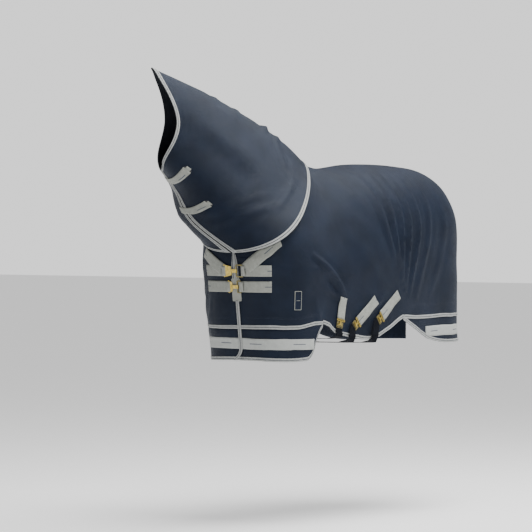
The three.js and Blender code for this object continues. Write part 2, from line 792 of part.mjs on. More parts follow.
for (const [label, side] of sides) {
  const neckLayer = (depth, thickness) => sheet({
    surface: neckAt(side),
    core: (psi, share) => neckCore(share * neckHemU),
    across: neckColumns,
    down: neckRows,
    outer: -depth,
    inner: -depth - thickness,
  });
  add(`neck_shell_${label}`, neckLayer(0, shellThick), navy());
  add(`neck_lining_${label}`, neckLayer(fillDepth, neckLiningThick), black());

  // Tabs under the shoulder hem that clip the neck cover to the rug
  add(`neck_clip_tab_${label}`, sheet({
    surface: neckAt(side),
    core: (psi, share) => neckCore(share * neckHemU),
    across: neckColumns.slice(7, 9),
    down: neckRows.slice(6, 8),
    outer: -fillDepth - neckLiningThick - seat,
    inner: -fillDepth - neckLiningThick - seat - webThick,
  }), silver());
}

// A strip that runs right round the neck, from the near throat over the crest to the far one
function aroundNeck(shares, outer, inner) {
  const round = [...neckColumns, ...neckColumns.map((psi) => 2 * Math.PI - psi).reverse()];
  return sheet({
    surface: (angle, share) => (angle > Math.PI
      ? neckAt(FAR)(2 * Math.PI - angle, share)
      : neckAt(NEAR)(angle, share)),
    core: (angle, share) => neckCore(share * neckHemU),
    across: round,
    down: shares,
    outer,
    inner,
  });
}

add('head_end_binding', aroundNeck([0, bindShare], seat + bindThick, seat), silver());
add('shoulder_hem_binding', aroundNeck([1 - bindShare, 1], seat + bindThick, seat), silver());

// Hook-and-loop straps that close the throat, hinged where they are sewn to the far half
for (const strap of throatStraps) {
  const psiStart = -0.14;
  const wrap = (psi) => [Math.abs(psi), psi < 0 ? FAR : NEAR];
  const halfShare = throatStrapWidth / 2 / 215;
  add(`throat_strap_${strap.name}`, sheet({
    surface: (share, offset) => {
      const [psi, side] = wrap(mix(psiStart, strap.endPsi, share));
      return neck(mix(strap.startU, strap.endU, share) + offset * halfShare, psi, side);
    },
    core: (share) => neckCore(mix(strap.startU, strap.endU, share)),
    across: spread(0, 1, 12),
    down: [-1, 1],
    outer: tapeLow + webThick,
    inner: tapeLow,
  }), silver());
}

export default rug;
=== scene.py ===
"""Turnout rug with a fitted neck cover: cloth, webbing, brass, materials and light."""
import math

import bpy
import numpy as np
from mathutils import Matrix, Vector


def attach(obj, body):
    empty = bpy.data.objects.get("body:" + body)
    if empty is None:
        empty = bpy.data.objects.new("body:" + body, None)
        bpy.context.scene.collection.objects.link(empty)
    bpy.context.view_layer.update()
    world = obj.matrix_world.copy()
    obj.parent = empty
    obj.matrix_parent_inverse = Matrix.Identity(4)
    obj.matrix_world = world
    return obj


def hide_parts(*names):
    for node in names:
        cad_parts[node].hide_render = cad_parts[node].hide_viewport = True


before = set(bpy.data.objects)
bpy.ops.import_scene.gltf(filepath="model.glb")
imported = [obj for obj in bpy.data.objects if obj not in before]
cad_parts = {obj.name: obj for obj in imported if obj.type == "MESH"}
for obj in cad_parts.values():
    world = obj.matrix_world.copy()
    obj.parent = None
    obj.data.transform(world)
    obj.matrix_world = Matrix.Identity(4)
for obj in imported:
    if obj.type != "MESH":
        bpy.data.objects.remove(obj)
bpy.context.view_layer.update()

NEAR, FAR = -1, 1
SIDES = (("left", NEAR), ("right", FAR))
MM = 0.001

# ------------------------------------------------------------ form, in millimetres
CHEST_X, RUMP_X, END_ROUND = -555, 1010, 330
CHEST_POWER, RUMP_POWER = 2.8, 2.6
SHOULDER_HALF, BARREL_HALF, HIP_HALF = 298, 325, 300
DOCK_X, TAIL_GAP, CHEST_TUCK, BELLY_DIP = 905, 222, 55, 82
FRONT_HEM, REAR_HEM = -890, -842
FRONT_SEAM, REAR_SEAM = FRONT_HEM + 148, REAR_HEM + 130
SKIRT_END_X, SKIRT_SLANT = -272, 100
SKIRT_START_X, SKIRT_SWEEP = 333, 330
NECK_OVERLAP = 20.3
WEB, BIND = 50, 17
UPPER_Z, LOWER_Z = -482, -554

PI = math.pi
FRONT_TURN, WITHERS_TURN, REAR_TURN = 0.3 * PI, 0.36 * PI, 0.72 * PI
TAIL_SHARE = math.asin((TAIL_GAP / 2 / HIP_HALF) ** (RUMP_POWER / 2)) / (PI / 2)
TAIL_TURN = PI - (PI - REAR_TURN) * TAIL_SHARE
FRONT_SIDE_X, REAR_SIDE_X = CHEST_X + END_ROUND, RUMP_X - END_ROUND
GIRTH = [[FRONT_SIDE_X, SHOULDER_HALF], [250, BARREL_HALF], [REAR_SIDE_X, HIP_HALF]]
TOP_LINE = [[-80, 14], [60, -14], [308, 6], [480, 9], [640, 4], [740, -8], [DOCK_X, -85]]
CROWN = [[0, 1.2], [0.3, 1.3], [0.36, 1.5], [0.45, 2.05], [0.75, 2.25], [1, 2.05]]
WIDEST = [[0, -470], [0.25, -480], [0.5, -500], [0.75, -340], [1, -400]]
TUCK = [[0, CHEST_TUCK], [0.2, 30], [0.5, 0], [1, 0]]

# Neck rings: crest point, throat point, half width, heading in degrees, narrowing
RINGS = [
    ((-690, 375, 440), (-655, 345, -25), 120, 45, 0.25),
    ((-455, 215, 318), (-610, 290, -130), 150, 30, 0.35),
    ((-220, 50, 148), (-605, 205, -255), 185, 12, 0.4),
    ((-62, 0, 16), (-577, 0, -400), 228, 0, 0.45),
]
NECK_HEM_U, NECK_FOOT_U, FACING_TOP_U = 3, 2.97, 2.58
HEAD_CUT = [[0, 0], [0.2, 0], [0.45, 0.33], [0.55, 0.37], [0.8, 0.1], [1, 0]]
THROAT_EDGE = 0.012
TRUNK_CORE = np.array([200.0, 0.0, -450.0])


def mix(a, b, t):
    return a + (b - a) * t


def hermite(keys, value, t):
    """Smooth value at t, where value(k) gives the value at key number k."""
    keys = np.asarray(keys, float)
    last = len(keys) - 1
    t = np.clip(t, keys[0], keys[last])
    i = np.clip(np.searchsorted(keys, t) - 1, 0, last - 1)

    def slope(k):
        before, after = np.maximum(k - 1, 0), np.minimum(k + 1, last)
        return (value(after) - value(before)) / (keys[after] - keys[before])

    width = keys[i + 1] - keys[i]
    u = (t - keys[i]) / width
    lift = (3 - 2 * u) * u * u
    bend = width * u * (1 - u) * ((1 - u) * slope(i) - u * slope(i + 1))
    return mix(value(i), value(i + 1), lift) + bend


def smooth(stops, t):
    stops = np.asarray(stops, float)
    return hermite(stops[:, 0], lambda k: stops[k, 1], t)


def power(value, exponent):
    return np.sign(value) * np.abs(value) ** exponent


def neck(u, psi, side):
    """Neck surface: u from the head (0) to the shoulder hem, psi from throat to crest."""
    u, psi, side = (v.ravel() for v in np.broadcast_arrays(u * 1.0, psi * 1.0, side * 1.0))
    ring_power = 2.2
    along = power(np.cos(psi), 2 / ring_power)[:, None]
    across = np.maximum(np.sin(psi), 0) ** (2 / ring_power)
    rows = []
    for crest, throat, half, heading, narrow in RINGS:
        crest, throat = np.array(crest, float), np.array(throat, float)
        heading = math.radians(heading)
        out = np.array([math.sin(heading), math.cos(heading), 0.0])
        wide = side[:, None] * half * across[:, None] * (1 + narrow * along)
        rows.append((crest + throat) / 2 + (throat - crest) * along / 2 + out * wide)
    rows = np.stack(rows)
    index = np.arange(psi.size)
    axes = [hermite(range(4), lambda k, a=a: rows[k, index, a], u) for a in range(3)]
    return np.stack(axes, -1)


def neck_core(u):
    u = np.ravel(u) * 1.0
    return (neck(u, 0 * u, NEAR) + neck(u, 0 * u + PI, NEAR)) / 2


def outline(turn, inset):
    """Outline seen from above: turn 0 at the chest, PI at the tail."""
    def rounded(share, half, exponent):
        a = np.clip(share, 0, 1) * PI / 2
        reach = np.maximum(np.cos(a), 0) ** (2 / exponent)
        return (END_ROUND - inset) * reach, (half - inset) * np.sin(a) ** (2 / exponent)

    fx, fy = rounded(turn / FRONT_TURN, SHOULDER_HALF, CHEST_POWER)
    rx, ry = rounded((PI - turn) / (PI - REAR_TURN), HIP_HALF, RUMP_POWER)
    x = mix(FRONT_SIDE_X, REAR_SIDE_X, (turn - FRONT_TURN) / (REAR_TURN - FRONT_TURN))
    front, rear = turn < FRONT_TURN, turn > REAR_TURN
    wide = smooth(GIRTH, x) - inset
    return (np.where(front, FRONT_SIDE_X - fx, np.where(rear, REAR_SIDE_X + rx, x)),
            np.where(front, fy, np.where(rear, ry, wide)))


def turn_at(x):
    if x < FRONT_SIDE_X:
        c = ((FRONT_SIDE_X - x) / END_ROUND) ** (CHEST_POWER / 2)
        return FRONT_TURN * math.acos(min(c, 1)) / (PI / 2)
    if x > REAR_SIDE_X:
        c = ((x - REAR_SIDE_X) / END_ROUND) ** (RUMP_POWER / 2)
        return PI - (PI - REAR_TURN) * math.acos(min(c, 1)) / (PI / 2)
    return mix(FRONT_TURN, REAR_TURN, (x - FRONT_SIDE_X) / (REAR_SIDE_X - FRONT_SIDE_X))


def turn_of(distance):
    """Turn at a distance across the chest from the middle."""
    share = math.asin((distance / SHOULDER_HALF) ** (CHEST_POWER / 2)) / (PI / 2)
    return FRONT_TURN * share


def wide_z(turn):
    return smooth(WIDEST, turn / PI)


def full_hem(turn):
    return smooth([[0, FRONT_HEM], [0.6, FRONT_HEM], [1, REAR_HEM]], turn / PI)


SPAN = SKIRT_START_X - SKIRT_END_X
SKIRT_END_TURN, SKIRT_START_TURN = turn_at(SKIRT_END_X), turn_at(SKIRT_START_X)
BODY_HEM = [
    [0, FRONT_SEAM],
    [SKIRT_END_TURN * 0.7, FRONT_SEAM + 4],
    [SKIRT_END_TURN, FRONT_SEAM + 20],
    [turn_at(SKIRT_END_X + SPAN * 0.16), REAR_SEAM - BELLY_DIP * 0.66],
    [turn_at(SKIRT_END_X + SPAN * 0.4), REAR_SEAM - BELLY_DIP],
    [turn_at(SKIRT_END_X + SPAN * 0.6), REAR_SEAM - BELLY_DIP - 8],
    [turn_at(SKIRT_END_X + SPAN * 0.8), REAR_SEAM - BELLY_DIP * 0.6],
    [SKIRT_START_TURN, REAR_SEAM - 2],
    [turn_at(SKIRT_START_X + 60), REAR_SEAM],
    [PI, REAR_SEAM],
]
FRONT_BOTTOM = [
    [0, FRONT_HEM],
    [turn_at(SKIRT_END_X - SKIRT_SLANT), FRONT_HEM],
    [turn_at(SKIRT_END_X - SKIRT_SLANT * 0.6), FRONT_HEM + 34],
    [turn_at(SKIRT_END_X - SKIRT_SLANT * 0.3), FRONT_HEM + 108],
    [SKIRT_END_TURN, FRONT_SEAM + 6],
]
REAR_BOTTOM = [
    [SKIRT_START_TURN, REAR_SEAM - 9],
    [turn_at(SKIRT_START_X + SKIRT_SWEEP * 0.36), mix(REAR_SEAM, REAR_HEM, 0.44)],
    [turn_at(SKIRT_START_X + SKIRT_SWEEP * 0.68), mix(REAR_SEAM, REAR_HEM, 0.78)],
    [turn_at(SKIRT_START_X + SKIRT_SWEEP), REAR_HEM + 7],
    [turn_at(SKIRT_START_X + SKIRT_SWEEP * 1.25), REAR_HEM],
    [PI, REAR_HEM],
]


def body_hem(turn):
    return smooth(BODY_HEM, turn)


def front_bottom(turn):
    return smooth(FRONT_BOTTOM, turn)


def rear_bottom(turn):
    return smooth(REAR_BOTTOM, turn)


def column_top(turn, side):
    turn = np.ravel(turn)
    psi = np.minimum(PI * (np.maximum(turn, 0) / WITHERS_TURN) ** 1.3, PI)
    foot = np.full_like(psi, NECK_FOOT_U)
    step = 0.004
    along = neck(foot + step, psi, side) - neck(foot - step, psi, side)
    across = neck(foot, psi + step, side) - neck(foot, psi - step, side)
    inward = np.cross(along, across)
    inward /= np.linalg.norm(inward, axis=1)[:, None] + 1e-12
    front = neck(foot, psi, side) + inward * side * NECK_OVERLAP
    crest = neck(foot, 0 * psi + PI, side)
    share = np.minimum((turn - WITHERS_TURN) / (TAIL_TURN - WITHERS_TURN), 1)
    x = mix(crest[:, 0], DOCK_X, share)
    y = crest[:, 1] * np.clip(1 - share * 6, 0, 1) + side * 0.7
    spine = np.stack([x, y, smooth(TOP_LINE, x)], -1)
    return np.where((turn < WITHERS_TURN)[:, None], front, spine)


def trunk(turn, down, side):
    """Trunk surface: down 0 to 1 from the top to the widest level, 1 to 2 to the hem."""
    turn, down = (v.ravel() for v in np.broadcast_arrays(turn * 1.0, down * 1.0))
    top = column_top(turn, side)
    wide_x, wide_y = outline(turn, 0)
    level = wide_z(turn)
    roundness = 2 / smooth(CROWN, turn / PI)
    a = np.clip(down, 0, 1) * PI / 2
    out = np.sin(a) ** roundness
    high = np.maximum(np.cos(a), 0) ** roundness
    upper = np.stack([mix(top[:, 0], wide_x, out), mix(top[:, 1], side * wide_y, out),
                      mix(level, top[:, 2], high)], -1)
    hem_x, hem_y = outline(turn, smooth(TUCK, turn / PI))
    fall = down - 1
    lower = np.stack([mix(wide_x, hem_x, fall), side * mix(wide_y, hem_y, fall),
                      mix(level, full_hem(turn), fall)], -1)
    return np.where((down <= 1)[:, None], upper, lower)


def down_of(turn, z, side):
    turn, z = (v.ravel() for v in np.broadcast_arrays(turn * 1.0, z * 1.0))
    level = wide_z(turn)
    below = 1 + (level - z) / (level - full_hem(turn))
    top = column_top(turn, side)[:, 2]
    high = np.clip((z - level) / (top - level), 0, 1)
    a = np.arccos(np.minimum(high ** (smooth(CROWN, turn / PI) / 2), 1))
    return np.where(z <= level, below, a / (PI / 2))


# ------------------------------------------------------------ folds and drape

# Soft folds on the trunk: points as (x along the rug, height), half width and height in mm
FOLDS = [
    ([(240, -35), (225, -160), (240, -330), (290, -470)], 17, 8),
    ([(325, -40), (305, -180), (300, -350), (320, -520)], 14, 11),
    ([(400, -40), (375, -200), (345, -370), (335, -550)], 13, 13),
    ([(470, -45), (440, -210), (390, -400), (355, -580)], 13, 13),
    ([(545, -50), (515, -230), (455, -420), (390, -600)], 13, 12),
    ([(640, -70), (605, -240), (540, -430), (450, -610)], 16, 8),
    ([(760, -110), (730, -290), (670, -470), (570, -630)], 20, 4),
    ([(210, -60), (215, -200), (240, -330)], 26, 4),
    ([(-330, -420), (-240, -470), (-160, -540), (-120, -600)], 16, 13),
    ([(-260, -550), (-170, -600), (-128, -640)], 13, 6),
    ([(-40, -330), (60, -430), (140, -520), (200, -600)], 34, 4),
    ([(180, -600), (100, -660), (20, -700)], 14, 4),
    ([(60, -60), (90, -150), (200, -260)], 30, 3),
    ([(-330, -620), (-300, -680), (-290, -730)], 16, 5),
]


def fold_lift(points, lines):
    """Height that fold lines raise the cloth by, in mm, with a shallow valley beside them."""
    lift = np.zeros(len(points))
    for line, wide, high in lines:
        line = np.asarray(line, float)
        steps = np.linspace(0, len(line) - 1, 25)
        path = np.stack([hermite(range(len(line)), lambda k, a=a: line[k, a], steps)
                         for a in range(line.shape[1])], -1)
        gap = points[:, None, :] - path[None, :, :]
        far = np.sqrt((gap ** 2).sum(-1))
        nearest = far.argmin(1)
        d = far[np.arange(len(points)), nearest]
        taper = np.sin(PI * np.clip(nearest / 24, 0.04, 0.96)) ** 0.6
        lift += high * taper * (np.exp(-(d / wide) ** 2)
                                - 0.35 * np.exp(-((d - 2 * wide) / wide) ** 2))
    return lift


def ripple(points):
    """Slow unevenness of worn cloth, in mm."""
    x, y, z = points.T
    return (1.6 * np.sin(x / 71 + z / 97 + 1.3) * np.sin(z / 83 - y / 120)
            + 1.0 * np.sin(x / 33 - z / 51 + 0.4) * np.sin(z / 47 + x / 90 + 2))


def unit(vectors):
    return vectors / (np.linalg.norm(vectors, axis=-1, keepdims=True) + 1e-9)


def grid_normals(points, core):
    """Unit normals of a grid of points (rows, columns, 3), pointing away from the core."""
    along = np.gradient(points, axis=1)
    down = np.gradient(points, axis=0)
    normal = unit(np.cross(along, down))
    middle = tuple(n // 2 for n in points.shape[:2])
    centre = core if core.ndim == 1 else core[middle]
    if np.dot(normal[middle], points[middle] - centre) < 0:
        normal = -normal
    return normal


def evened(change, passes):
    """A grid of vectors with its sharpest creases softened, its rim kept as it is."""
    change = change.copy()
    for _ in range(passes):
        wide = np.pad(change, ((1, 1), (1, 1), (0, 0)), mode="edge")
        down = (wide[:-2] + 2 * wide[1:-1] + wide[2:]) / 4
        both = (down[:, :-2] + 2 * down[:, 1:-1] + down[:, 2:]) / 4
        change[1:-1, 1:-1] = both[1:-1, 1:-1]
    return change


def between(grid, columns, rows, x, y):
    """Value of a grid of vectors at places between its columns and rows."""
    column = np.interp(x, columns, np.arange(len(columns)))
    row = np.interp(y, rows, np.arange(len(rows)))
    c = np.minimum(column.astype(int), len(columns) - 2)
    r = np.minimum(row.astype(int), len(rows) - 2)
    s = (column - c)[:, None]
    t = (row - r)[:, None]
    above = mix(grid[r, c], grid[r, c + 1], s)
    below = mix(grid[r + 1, c], grid[r + 1, c + 1], s)
    return mix(above, below, t)


def place_object(name, data):
    obj = bpy.data.objects.new(name, data)
    bpy.context.scene.collection.objects.link(obj)
    return obj


def grid_object(name, points):
    rows, cols = points.shape[:2]
    faces = [(r * cols + c, r * cols + c + 1, (r + 1) * cols + c + 1, (r + 1) * cols + c)
             for r in range(rows - 1) for c in range(cols - 1)]
    mesh = bpy.data.meshes.new(name)
    mesh.from_pydata((points.reshape(-1, 3) * MM).tolist(), [], faces)
    return place_object(name, mesh)


SLIDE_LIMIT = 6     # furthest the cloth may slide along the body, mm
LIFT_LIMIT = 14     # and rise off it
BODY_GAP = 7        # how far inside the cloth the firm body lies, mm


def drape(points, core, hold, slack, inward, frames=16):
    """Cloth simulation of a grid over a firm body just inside it; returns the new grid.

    hold is how firmly each point is held, 0 to 1, and inward the most it may sink, in mm.
    """
    normals = grid_normals(points, core)
    cloth = grid_object("draping_cloth", points)
    group = cloth.vertex_groups.new(name="hold")
    for weight in np.unique(np.round(hold, 2)):
        chosen = np.nonzero(np.round(hold, 2).ravel() == weight)[0]
        group.add(chosen.tolist(), float(weight), "REPLACE")
    inside = grid_object("draping_body", (points - normals * BODY_GAP)[::2, ::2])
    inside.modifiers.new("Collision", "COLLISION")
    inside.collision.thickness_outer = 0.002
    inside.collision.cloth_friction = 12
    settings = cloth.modifiers.new("Cloth", "CLOTH")
    settings.settings.quality = 4
    settings.settings.mass = 0.2
    settings.settings.tension_stiffness = 18
    settings.settings.compression_stiffness = 18
    settings.settings.shear_stiffness = 8
    settings.settings.bending_stiffness = 1.5
    settings.settings.shrink_min = -slack
    settings.settings.vertex_group_mass = "hold"
    settings.settings.pin_stiffness = 1
    settings.collision_settings.distance_min = 0.003
    settings.collision_settings.collision_quality = 2
    settings.point_cache.frame_start = 1
    settings.point_cache.frame_end = frames
    scene = bpy.context.scene
    for number in range(1, frames + 1):
        scene.frame_set(number)
    hung = cloth.evaluated_get(bpy.context.evaluated_depsgraph_get()).to_mesh()
    moved = np.empty(len(hung.vertices) * 3)
    hung.vertices.foreach_get("co", moved)
    moved = moved.reshape(points.shape) / MM
    scene.frame_set(1)
    for obj in (cloth, inside):
        bpy.data.objects.remove(obj)
    change = np.nan_to_num(moved - points)
    out = (change * normals).sum(-1, keepdims=True)
    slide = change - out * normals
    length = np.linalg.norm(slide, axis=2, keepdims=True)
    slide *= np.minimum(1, SLIDE_LIMIT / (length + 1e-9))
    return points + evened(slide + normals * np.clip(out, -inward, LIFT_LIMIT), 2)


BODY_COLUMNS = np.linspace(1e-4, TAIL_TURN, 150)
BODY_ROWS = np.concatenate([np.linspace(0.002, 1, 50), np.linspace(1, 2, 34)[1:]])


BODY_SLACK, BODY_SINK = 0.03, 2.5
SEAM_HOLD, SEAM_NEAR = 0.5, 14
CHEST_TURN, CHEST_MARGIN = 0.34, 60
EDGE_TURN, STRAP_NEAR = 0.03, 40


def body_cloth(side):
    """How far the draped cloth moved from the trunk surface, as a grid of vectors."""
    turn, down = np.meshgrid(BODY_COLUMNS, BODY_ROWS)
    shape = turn.shape + (3,)
    plain = trunk(turn, down, side).reshape(shape)
    normals = grid_normals(plain, TRUNK_CORE)
    flat = plain.reshape(-1, 3)
    lines = []
    for line, wide, high in FOLDS:
        x, z = np.array(line, float).T
        turns = np.array([turn_at(v) for v in x])
        path = trunk(turns, down_of(turns, z, side), side)
        lines.append((path, wide, high))
    lift = (fold_lift(flat, lines) + ripple(flat)).reshape(turn.shape)
    edge = np.minimum(1, np.minimum(turn / 0.12, (TAIL_TURN - turn) / 0.05))
    edge = edge * np.clip(down / 0.2, 0, 1)
    posed = plain + normals * (lift * edge)[..., None]
    seam = np.abs(plain[..., 2] - body_hem(turn.ravel()).reshape(turn.shape))
    hold = np.where(seam < SEAM_NEAR, SEAM_HOLD, 0.0)
    hold = np.maximum(hold, np.clip((down - 1.7) / 0.2, 0, 1))
    hold = np.maximum(hold, np.where(down < 0.05, 1, 0))
    hold = np.maximum(hold, np.where((turn < EDGE_TURN) | (turn > TAIL_TURN - EDGE_TURN), 1, 0))
    z = plain[..., 2]
    chest = (turn < CHEST_TURN) & (z < UPPER_Z + CHEST_MARGIN) & (z > LOWER_Z - CHEST_MARGIN)
    hold = np.maximum(hold, np.where(chest, 1, 0))
    for strap in STRAPS:
        spot = trunk_point(strap["top"], side)
        near = np.linalg.norm(plain - spot, axis=2) < STRAP_NEAR
        hold = np.maximum(hold, np.where(near, 1, 0))
    return drape(posed, TRUNK_CORE, hold, BODY_SLACK, BODY_SINK) - plain


def trunk_point(spot, side):
    turn, z = np.array([spot[0]]), np.array([float(spot[1])])
    return trunk(turn, down_of(turn, z, side), side)[0]


STRAPS = []
STRAP_DROP = 98
for name, top_x, bottom_x, top_z in (("front", -126, -147, -608), ("middle", 108, -22, -622),
                                     ("rear", 291, 150, -602)):
    STRAPS.append({"name": name, "top": (turn_at(top_x), top_z),
                   "bottom": (turn_at(bottom_x), top_z - STRAP_DROP)})

MOVED = {side: body_cloth(side) for _, side in SIDES}


def rug_surface(side):
    """The draped trunk surface at (turn, z)."""
    def surface(turn, z):
        turn, z = (v.ravel() for v in np.broadcast_arrays(turn * 1.0, z * 1.0))
        down = down_of(turn, z, side)
        return trunk(turn, down, side) + between(MOVED[side], BODY_COLUMNS, BODY_ROWS, turn, down)
    return surface


# ------------------------------------------------------------ closed cloth pieces

def solid(name, points, core, low, high, paint=None, looks=()):
    """Closed sheet over a grid of points, from low to high out of it, in millimetres."""
    rows, cols = points.shape[:2]
    normals = grid_normals(points, core)
    spread = lambda d: np.broadcast_to(np.asarray(d, float), (rows, cols))[..., None]
    outer = points + normals * spread(high)
    inner = points + normals * spread(low)
    count = rows * cols
    faces, looks_at, soft = [], [], []

    def face(indices, look=0, smooth_it=True):
        faces.append(indices)
        looks_at.append(look)
        soft.append(smooth_it)

    for r in range(rows - 1):
        for c in range(cols - 1):
            i = r * cols + c
            face((i, i + cols, i + cols + 1, i + 1), paint(r, c) if paint else 0)
            face((i + count, i + 1 + count, i + cols + 1 + count, i + cols + count))
    for c in range(cols - 1):
        i = count - cols + c
        face((c, c + 1, c + 1 + count, c + count), 0, False)
        face((i + 1, i, i + count, i + 1 + count), 0, False)
    for r in range(rows - 1):
        i, j = r * cols, r * cols + cols - 1
        face((i + cols, i, i + count, i + cols + count), 0, False)
        face((j, j + cols, j + cols + count, j + count), 0, False)
    mesh = bpy.data.meshes.new(name)
    both = np.concatenate([outer.reshape(-1, 3), inner.reshape(-1, 3)]) * MM
    mesh.from_pydata(both.tolist(), [], faces)
    if np.dot(mesh.polygons[0].normal, Vector(normals[0, 0])) < 0:
        mesh.flip_normals()
    mesh.polygons.foreach_set("material_index", looks_at)
    mesh.polygons.foreach_set("use_smooth", soft)
    add_uv(mesh, points)
    obj = place_object(name, mesh)
    for look in looks:
        mesh.materials.append(look)
    return obj


def add_uv(mesh, points):
    """Texture coordinates in metres along and down the cloth."""
    rows, cols = points.shape[:2]
    along = np.linalg.norm(np.diff(points[rows // 2], axis=0), axis=1)
    down = np.linalg.norm(np.diff(points[:, cols // 2], axis=0), axis=1)
    u = np.concatenate([[0], np.cumsum(along)]) * MM
    v = np.concatenate([[0], np.cumsum(down)]) * MM
    uu, vv = np.meshgrid(u, v)
    pair = np.stack([uu, vv], -1).reshape(-1, 2)
    pair = np.concatenate([pair, pair])
    index = np.empty(len(mesh.loops), dtype=int)
    mesh.loops.foreach_get("vertex_index", index)
    layer = mesh.uv_layers.new(name="cloth")
    layer.data.foreach_set("uv", pair[index].ravel())


def over(surface, across, down):
    """Grid of points (rows, columns, 3) of a surface."""
    a, b = np.meshgrid(across, down)
    return surface(a.ravel(), b.ravel()).reshape(a.shape + (3,))


def hanging(side, top, bottom):
    """Surface between two heights that vary with the turn."""
    surface = rug_surface(side)
    return lambda turn, share: surface(turn, mix(top(turn), bottom(turn), share))


# ------------------------------------------------------------ materials

def nodes_of(name, color, roughness, metallic=0.0, sheen=0.0, specular=0.5):
    look = bpy.data.materials.new(name)
    look.use_nodes = True
    tree = look.node_tree
    shader = tree.nodes["Principled BSDF"]
    shader.inputs["Base Color"].default_value = (*color, 1)
    shader.inputs["Roughness"].default_value = roughness
    shader.inputs["Metallic"].default_value = metallic
    shader.inputs["Sheen Weight"].default_value = sheen
    shader.inputs["Specular IOR Level"].default_value = specular
    return look, tree, shader


def node(tree, kind, **values):
    made = tree.nodes.new(kind)
    for key, value in values.items():
        if hasattr(made, key):
            setattr(made, key, value)
        else:
            made.inputs[key.replace("_", " ")].default_value = value
    return made


def math_node(tree, operation, a, b=None):
    made = tree.nodes.new("ShaderNodeMath")
    made.operation = operation
    for slot, value in zip(made.inputs, (a, b)):
        if value is None:
            continue
        if isinstance(value, (int, float)):
            slot.default_value = value
        else:
            tree.links.new(value, slot)
    return made.outputs[0]


def uv_axes(tree):
    uv = tree.nodes.new("ShaderNodeUVMap")
    uv.uv_map = "cloth"
    split = tree.nodes.new("ShaderNodeSeparateXYZ")
    tree.links.new(uv.outputs[0], split.inputs[0])
    return split.outputs[0], split.outputs[1]


def waves(tree, coordinate, period):
    """0 to 1 and back along a coordinate in metres, once per period."""
    turned = math_node(tree, "MULTIPLY", coordinate, 2 * PI / period)
    return math_node(tree, "MULTIPLY_ADD", math_node(tree, "SINE", turned), 0.5)


def noise(tree, scale, detail=4, roughness=0.55):
    where = tree.nodes.new("ShaderNodeTexCoord")
    made = node(tree, "ShaderNodeTexNoise", Scale=scale, Detail=detail, Roughness=roughness)
    tree.links.new(where.outputs["Object"], made.inputs["Vector"])
    return made.outputs["Fac"]


def ramp(tree, value, *stops):
    made = tree.nodes.new("ShaderNodeValToRGB")
    elements = made.color_ramp.elements
    elements.remove(elements[0])
    for number, (place, color) in enumerate(stops):
        element = elements.new(place) if number else elements[0]
        element.position = place
        element.color = (*color, 1)
    tree.links.new(value, made.inputs[0])
    return made.outputs[0]


def bump(tree, shader, *heights):
    """Chain of bumps, each given as (height socket, depth in metres)."""
    last = None
    for height, depth in heights:
        made = node(tree, "ShaderNodeBump", Strength=1.0, Distance=depth)
        tree.links.new(height, made.inputs["Height"])
        if last is not None:
            tree.links.new(last, made.inputs["Normal"])
        last = made.outputs[0]
    tree.links.new(last, shader.inputs["Normal"])


def uneven_roughness(tree, shader, grain, low, high):
    rough = node(tree, "ShaderNodeMapRange")
    rough.inputs["To Min"].default_value = low
    rough.inputs["To Max"].default_value = high
    tree.links.new(grain, rough.inputs["Value"])
    tree.links.new(rough.outputs[0], shader.inputs["Roughness"])


def woven(name, dark, light, roughness, thread, sheen=0.035, crinkle=0.0014):
    """Plain-weave cloth with slow colour variation and small creases."""
    look, tree, shader = nodes_of(name, light, roughness, sheen=sheen, specular=0.2)
    shader.inputs["Sheen Tint"].default_value = (0.6, 0.75, 1, 1)
    shader.inputs["Specular Tint"].default_value = (0.72, 0.84, 1, 1)
    u, v = uv_axes(tree)
    weave = math_node(tree, "MULTIPLY", waves(tree, u, thread), waves(tree, v, thread))
    cloud = noise(tree, 9, 5)
    tone = math_node(tree, "MULTIPLY_ADD", weave, 0.12)
    tone.node.inputs[2].default_value = 0
    total = math_node(tree, "ADD", math_node(tree, "MULTIPLY", cloud, 0.9), tone)
    tree.links.new(ramp(tree, total, (0.3, dark), (0.72, light)), shader.inputs["Base Color"])
    uneven_roughness(tree, shader, noise(tree, 30, 3), roughness - 0.08, roughness + 0.1)
    bump(tree, shader, (noise(tree, 14, 6, 0.5), crinkle), (noise(tree, 70, 3), crinkle * 0.3),
         (weave, thread * 0.25))
    return look


def webbing(name, dark, light, rib, print_color=None, print_step=0.12):
    """Ribbed webbing, with a plain printed bar along its middle if a colour is given."""
    look, tree, shader = nodes_of(name, light, 0.6, sheen=0.15)
    u, v = uv_axes(tree)
    ribs = waves(tree, u, rib)
    cross = waves(tree, v, rib * 1.6)
    tone = math_node(tree, "ADD", math_node(tree, "MULTIPLY", ribs, 0.35),
                     math_node(tree, "MULTIPLY", noise(tree, 60, 4), 0.65))
    color = ramp(tree, tone, (0.25, dark), (0.75, light))
    if print_color:
        place = math_node(tree, "MODULO", math_node(tree, "ADD", u, 1.0), print_step)
        bars = math_node(tree, "LESS_THAN", place, print_step * 0.3)
        level = math_node(tree, "ABSOLUTE", math_node(tree, "SUBTRACT", v, WEB / 2 * MM), None)
        middle = math_node(tree, "LESS_THAN", level, 0.002)
        mark = math_node(tree, "MULTIPLY", bars, middle)
        blend = tree.nodes.new("ShaderNodeMix")
        blend.data_type = "RGBA"
        tree.links.new(mark, blend.inputs[0])
        tree.links.new(color, blend.inputs[6])
        blend.inputs[7].default_value = (*print_color, 1)
        color = blend.outputs[2]
    tree.links.new(color, shader.inputs["Base Color"])
    bump(tree, shader, (ribs, rib * 0.22), (cross, rib * 0.12), (noise(tree, 25, 4), 0.0006))
    return look


